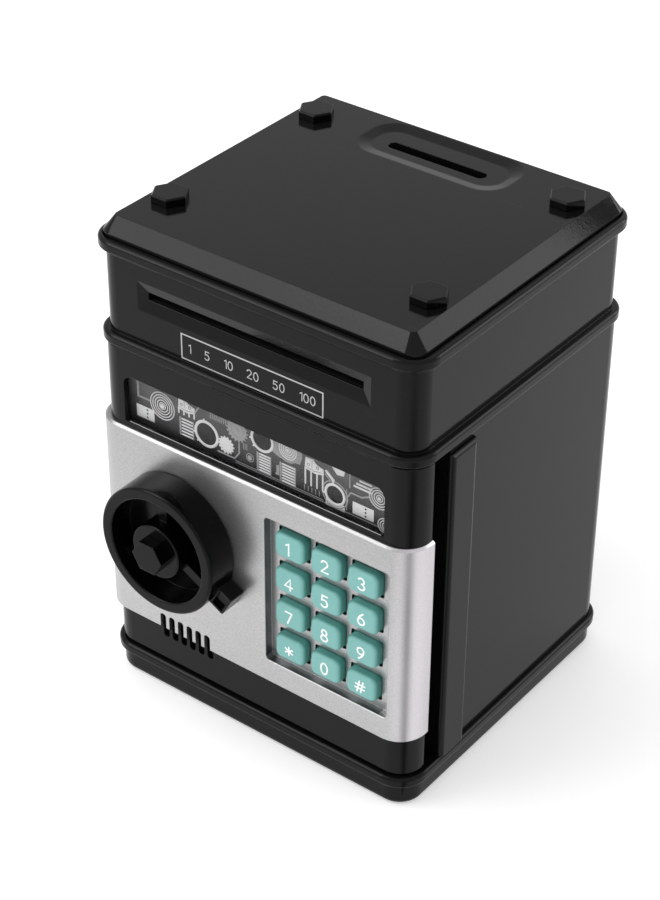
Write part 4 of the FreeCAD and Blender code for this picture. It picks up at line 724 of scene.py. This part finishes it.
def picture_left(soft, lit, mesh):
    """Gear wheels, a dial, a rack, hanging pipes, a spring, a gauge and a port plate."""
    gear_wheel(soft, -8.2, 13.0, 4.6, 18)
    gear_wheel(lit, -12.9, 5.2, 3.4, 14)
    dial(lit, mesh, -21.2, 6.1, 4.7, 1.1)
    rack(soft, lit, -32.4, 1.2, 5.2, 7.2, 6)
    comb(lit, mesh, -33.2, 11.6, 7.2, 9.9)
    coil_spring(soft, -19.4, 13.2, 6.4, 3.0, 9)
    gauge(lit, -40.2, 9.4, 5.2, 5)
    soft.stroke([(-45.8, 9.4), (-50.8, 9.4), (-50.8, 15.8), (-42.0, 15.8)], 0.8, 0.26)
    port_plate(lit, mesh, -51.8, 1.2, 7.8, 4.8)
    soft.stroke([(-26.0, 12.6), (-23.4, 16.6), (-13.0, 16.6), (-11.0, 14.6)], 0.7, 0.24)
    soft.stroke([(-16.4, 1.4), (-9.4, 1.4), (-7.4, 4.4), (-7.4, 8.0)], 0.6, 0.22)
    for u in (-5.6, -4.9, -4.2):
        soft.stroke([(u, 6.8), (u, 9.0)], 0.3, 0.12)


def draw_machine(pale, bright, dark):
    """Gears, racks, dials and pipes, printed in relief on the sheet behind the window.

    Places in the picture run from the middle of the window's sill, in millimetres.
    """
    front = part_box("window_plate")[0].y + 0.01 * MM
    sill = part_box("window_lens")[0].z + 1.4 * MM
    soft, lit, mesh = (Relief(0.0, front, sill) for layer in range(3))
    picture_middle(soft, lit, mesh)
    picture_right(soft, lit, mesh)
    picture_sill(soft)
    picture_left(soft, lit, mesh)
    for name, relief, finish in (("soft", soft, pale), ("bright", lit, bright), ("mesh", mesh, dark)):
        relief.done(f"machine_{name}", finish, "door", "print_grey")


# ---------------------------------------------------------------- light, floor and camera


def make_floor():
    """A pale sheet that the bank stands on, with a faint glow of its own."""
    bpy.ops.mesh.primitive_plane_add(size=16.0, location=(0.0, 0.0, CAD_BOX[0].z))
    floor = bpy.context.object
    floor.name = "floor"
    glow = {"Emission_Color": (1.0, 1.0, 1.0, 1.0), "Emission_Strength": 0.32}
    finish = Finish("floor_white", (0.86, 0.86, 0.86), 0.8, **glow)
    finish.tint(finish.remap(finish.noise(3.0), 0.3, 0.7, 0.0, 1.0), (0.88, 0.88, 0.88))
    floor.data.materials.append(finish.material)


def make_world():
    """An even white studio sky, brighter where the camera looks straight at it."""
    world = bpy.data.worlds.new("studio")
    bpy.context.scene.world = world
    world.use_nodes = True
    tree = world.node_tree
    background = tree.nodes["Background"]
    background.inputs["Color"].default_value = (1.0, 1.0, 1.0, 1.0)
    rays = tree.nodes.new("ShaderNodeLightPath")
    strength = tree.nodes.new("ShaderNodeMapRange")
    lighting, seen = 0.92, 1.3
    strength.inputs["To Min"].default_value = lighting
    strength.inputs["To Max"].default_value = seen
    tree.links.new(rays.outputs["Is Camera Ray"], strength.inputs["Value"])
    tree.links.new(strength.outputs["Result"], background.inputs["Strength"])


def bearing(azimuth, elevation):
    """The way to something at these degrees: azimuth 0 is in front and 90 on the right."""
    a, e = math.radians(azimuth), math.radians(elevation)
    return Vector((math.sin(a) * math.cos(e), -math.cos(a) * math.cos(e), math.sin(e)))


def hang(piece, place, away, distance):
    """Puts a lamp or a card at a distance from a place, with its face towards it."""
    bpy.context.scene.collection.objects.link(piece)
    piece.location = place + away * distance
    piece.rotation_mode = "QUATERNION"
    piece.rotation_quaternion = away.to_track_quat("Z", "Y")


def softbox(name, azimuth, elevation, size, power, lights_all):
    """A square area light that looks at the bank's middle; without lights_all it only shines in gloss."""
    lamp = bpy.data.lights.new(name, "AREA")
    lamp.size = size
    lamp.energy = power
    lamp_object = bpy.data.objects.new(name, lamp)
    middle, distance = (CAD_BOX[0] + CAD_BOX[1]) / 2, 1.2
    hang(lamp_object, middle, bearing(azimuth, elevation), distance)
    lamp_object.visible_diffuse = lights_all


def mirror_card(name, corners, faces):
    """A black card that only mirror-like reflections see, and its finish."""
    data = bpy.data.meshes.new(name)
    data.from_pydata(corners, [], faces)
    card = bpy.data.objects.new(name, data)
    finish = Finish(name, (0.004, 0.004, 0.004), 0.9, Specular_IOR_Level=0.0)
    data.materials.append(finish.material)
    card.visible_camera = card.visible_diffuse = card.visible_shadow = False
    card.visible_transmission = False
    return card, finish


def shade_fan(name, place, azimuth, reach, spread, strength):
    """A dark fan on the floor, seen in gloss alone, that clears towards its sides and its tip."""
    steps = 12
    angles = [math.radians(spread * (2.0 * i / steps - 1.0)) for i in range(steps + 1)]
    rim = [(reach * math.cos(a), reach * math.sin(a), 0.0) for a in angles]
    card, finish = mirror_card(name, [(0.0, 0.0, 0.0)] + rim, [(0, i + 1, i + 2) for i in range(steps)])
    bpy.context.scene.collection.objects.link(card)
    card.location = place
    card.rotation_euler.z = math.radians(azimuth - 90.0)
    forward, across = finish.along("Object", "X"), finish.along("Object", "Y")
    turn = finish.maths("ABSOLUTE", finish.maths("ARCTAN2", across, forward), 0.0)
    middle = finish.remap(turn, 0.0, math.radians(spread), 1.0, 0.0)
    fade_start = reach * 0.55
    near = finish.remap(forward, fade_start, reach, strength, 0.0)
    finish.join(finish.maths("MULTIPLY", middle, near), finish.shader.inputs["Alpha"])


def shade_oblong(name, place, azimuth, elevation, distance, half_wide, half_tall):
    """A dark oblong, seen in gloss alone, square to its bearing from a place."""
    corners = [(x * half_wide, y * half_tall, 0.0) for x, y in ((-1, -1), (1, -1), (1, 1), (-1, 1))]
    card, _ = mirror_card(name, corners, [(0, 1, 2, 3)])
    hang(card, place, bearing(azimuth, elevation), distance)


def light_bank():
    """Four softboxes, and two cards that darken what the glossy walls mirror."""
    softbox("left_box", -48.0, 48.0, 0.8, 5.0, True)
    softbox("front_box", -37.0, 24.0, 0.5, 3.8, False)
    softbox("right_box", 142.0, 22.0, 0.7, 5.4, False)
    softbox("back_box", -143.0, 36.0, 0.9, 0.12, False)
    low, high = CAD_BOX
    front_corner = Vector((high.x - 2.0 * MM, low.y + 18.0 * MM, low.z + 0.2 * MM))
    shade_fan("corner_shade", front_corner, 53.0, 300.0 * MM, 27.0, 0.9)
    rear_edge = Vector((high.x - 5.0 * MM, high.y - 15.0 * MM, high.z - 5.0 * MM))
    shade_oblong("rear_shade", rear_edge, 143.3, 17.0, 300.0 * MM, 11.5 * MM, 30.0 * MM)


def make_camera():
    """The camera, by its bearing, roll and distance from a point on the bank."""
    azimuth, elevation, roll = 37.23, 34.55, math.radians(0.35)
    aim, distance = Vector((-13.58, 0.0, 82.09)) * MM, 797.1 * MM
    back = bearing(azimuth, elevation)
    right = Vector((0.0, 0.0, 1.0)).cross(back).normalized()
    upward = back.cross(right)
    turned_right = right * math.cos(roll) + upward * math.sin(roll)
    turned_up = upward * math.cos(roll) - right * math.sin(roll)
    lens = bpy.data.cameras.new("main_camera")
    lens.lens, lens.sensor_width = 90.69, 36.0
    lens.clip_start, lens.clip_end = 0.01, 50.0
    camera = bpy.data.objects.new("main_camera", lens)
    bpy.context.scene.collection.objects.link(camera)
    axes = Matrix((turned_right, turned_up, back)).transposed().to_4x4()
    camera.matrix_world = Matrix.Translation(aim + back * distance) @ axes
    bpy.context.scene.camera = camera


dress_nodes()
print_keys(ink("white_ink", (0.86, 0.88, 0.87)))
print_label(ink("label_ink", (0.42, 0.42, 0.42)))
PALE, BRIGHT_INK_AND_HIGHLIGHT = ink("machine_pale", (0.34, 0.34, 0.345)), ink("machine_bright", (0.74, 0.74, 0.745))
# Painted highlight: the bright print ink also draws the bright line along the window's lower edge.
paint_lens_highlight(BRIGHT_INK_AND_HIGHLIGHT)
draw_machine(PALE, BRIGHT_INK_AND_HIGHLIGHT, ink("machine_dark", (0.03, 0.03, 0.031), (0.1, 0.1, 0.1)))
shield_boards(FINISHES["inner_black"])
# Painted shade: the near-black ink of the screw crosses stands in for the shade inside a cross recess.
mark_screws(ink("painted_recess_shade", (0.01, 0.01, 0.01), (0.05, 0.05, 0.05)))
make_floor()
make_world()
light_bank()
make_camera()
bpy.context.scene.view_settings.view_transform = "Standard"
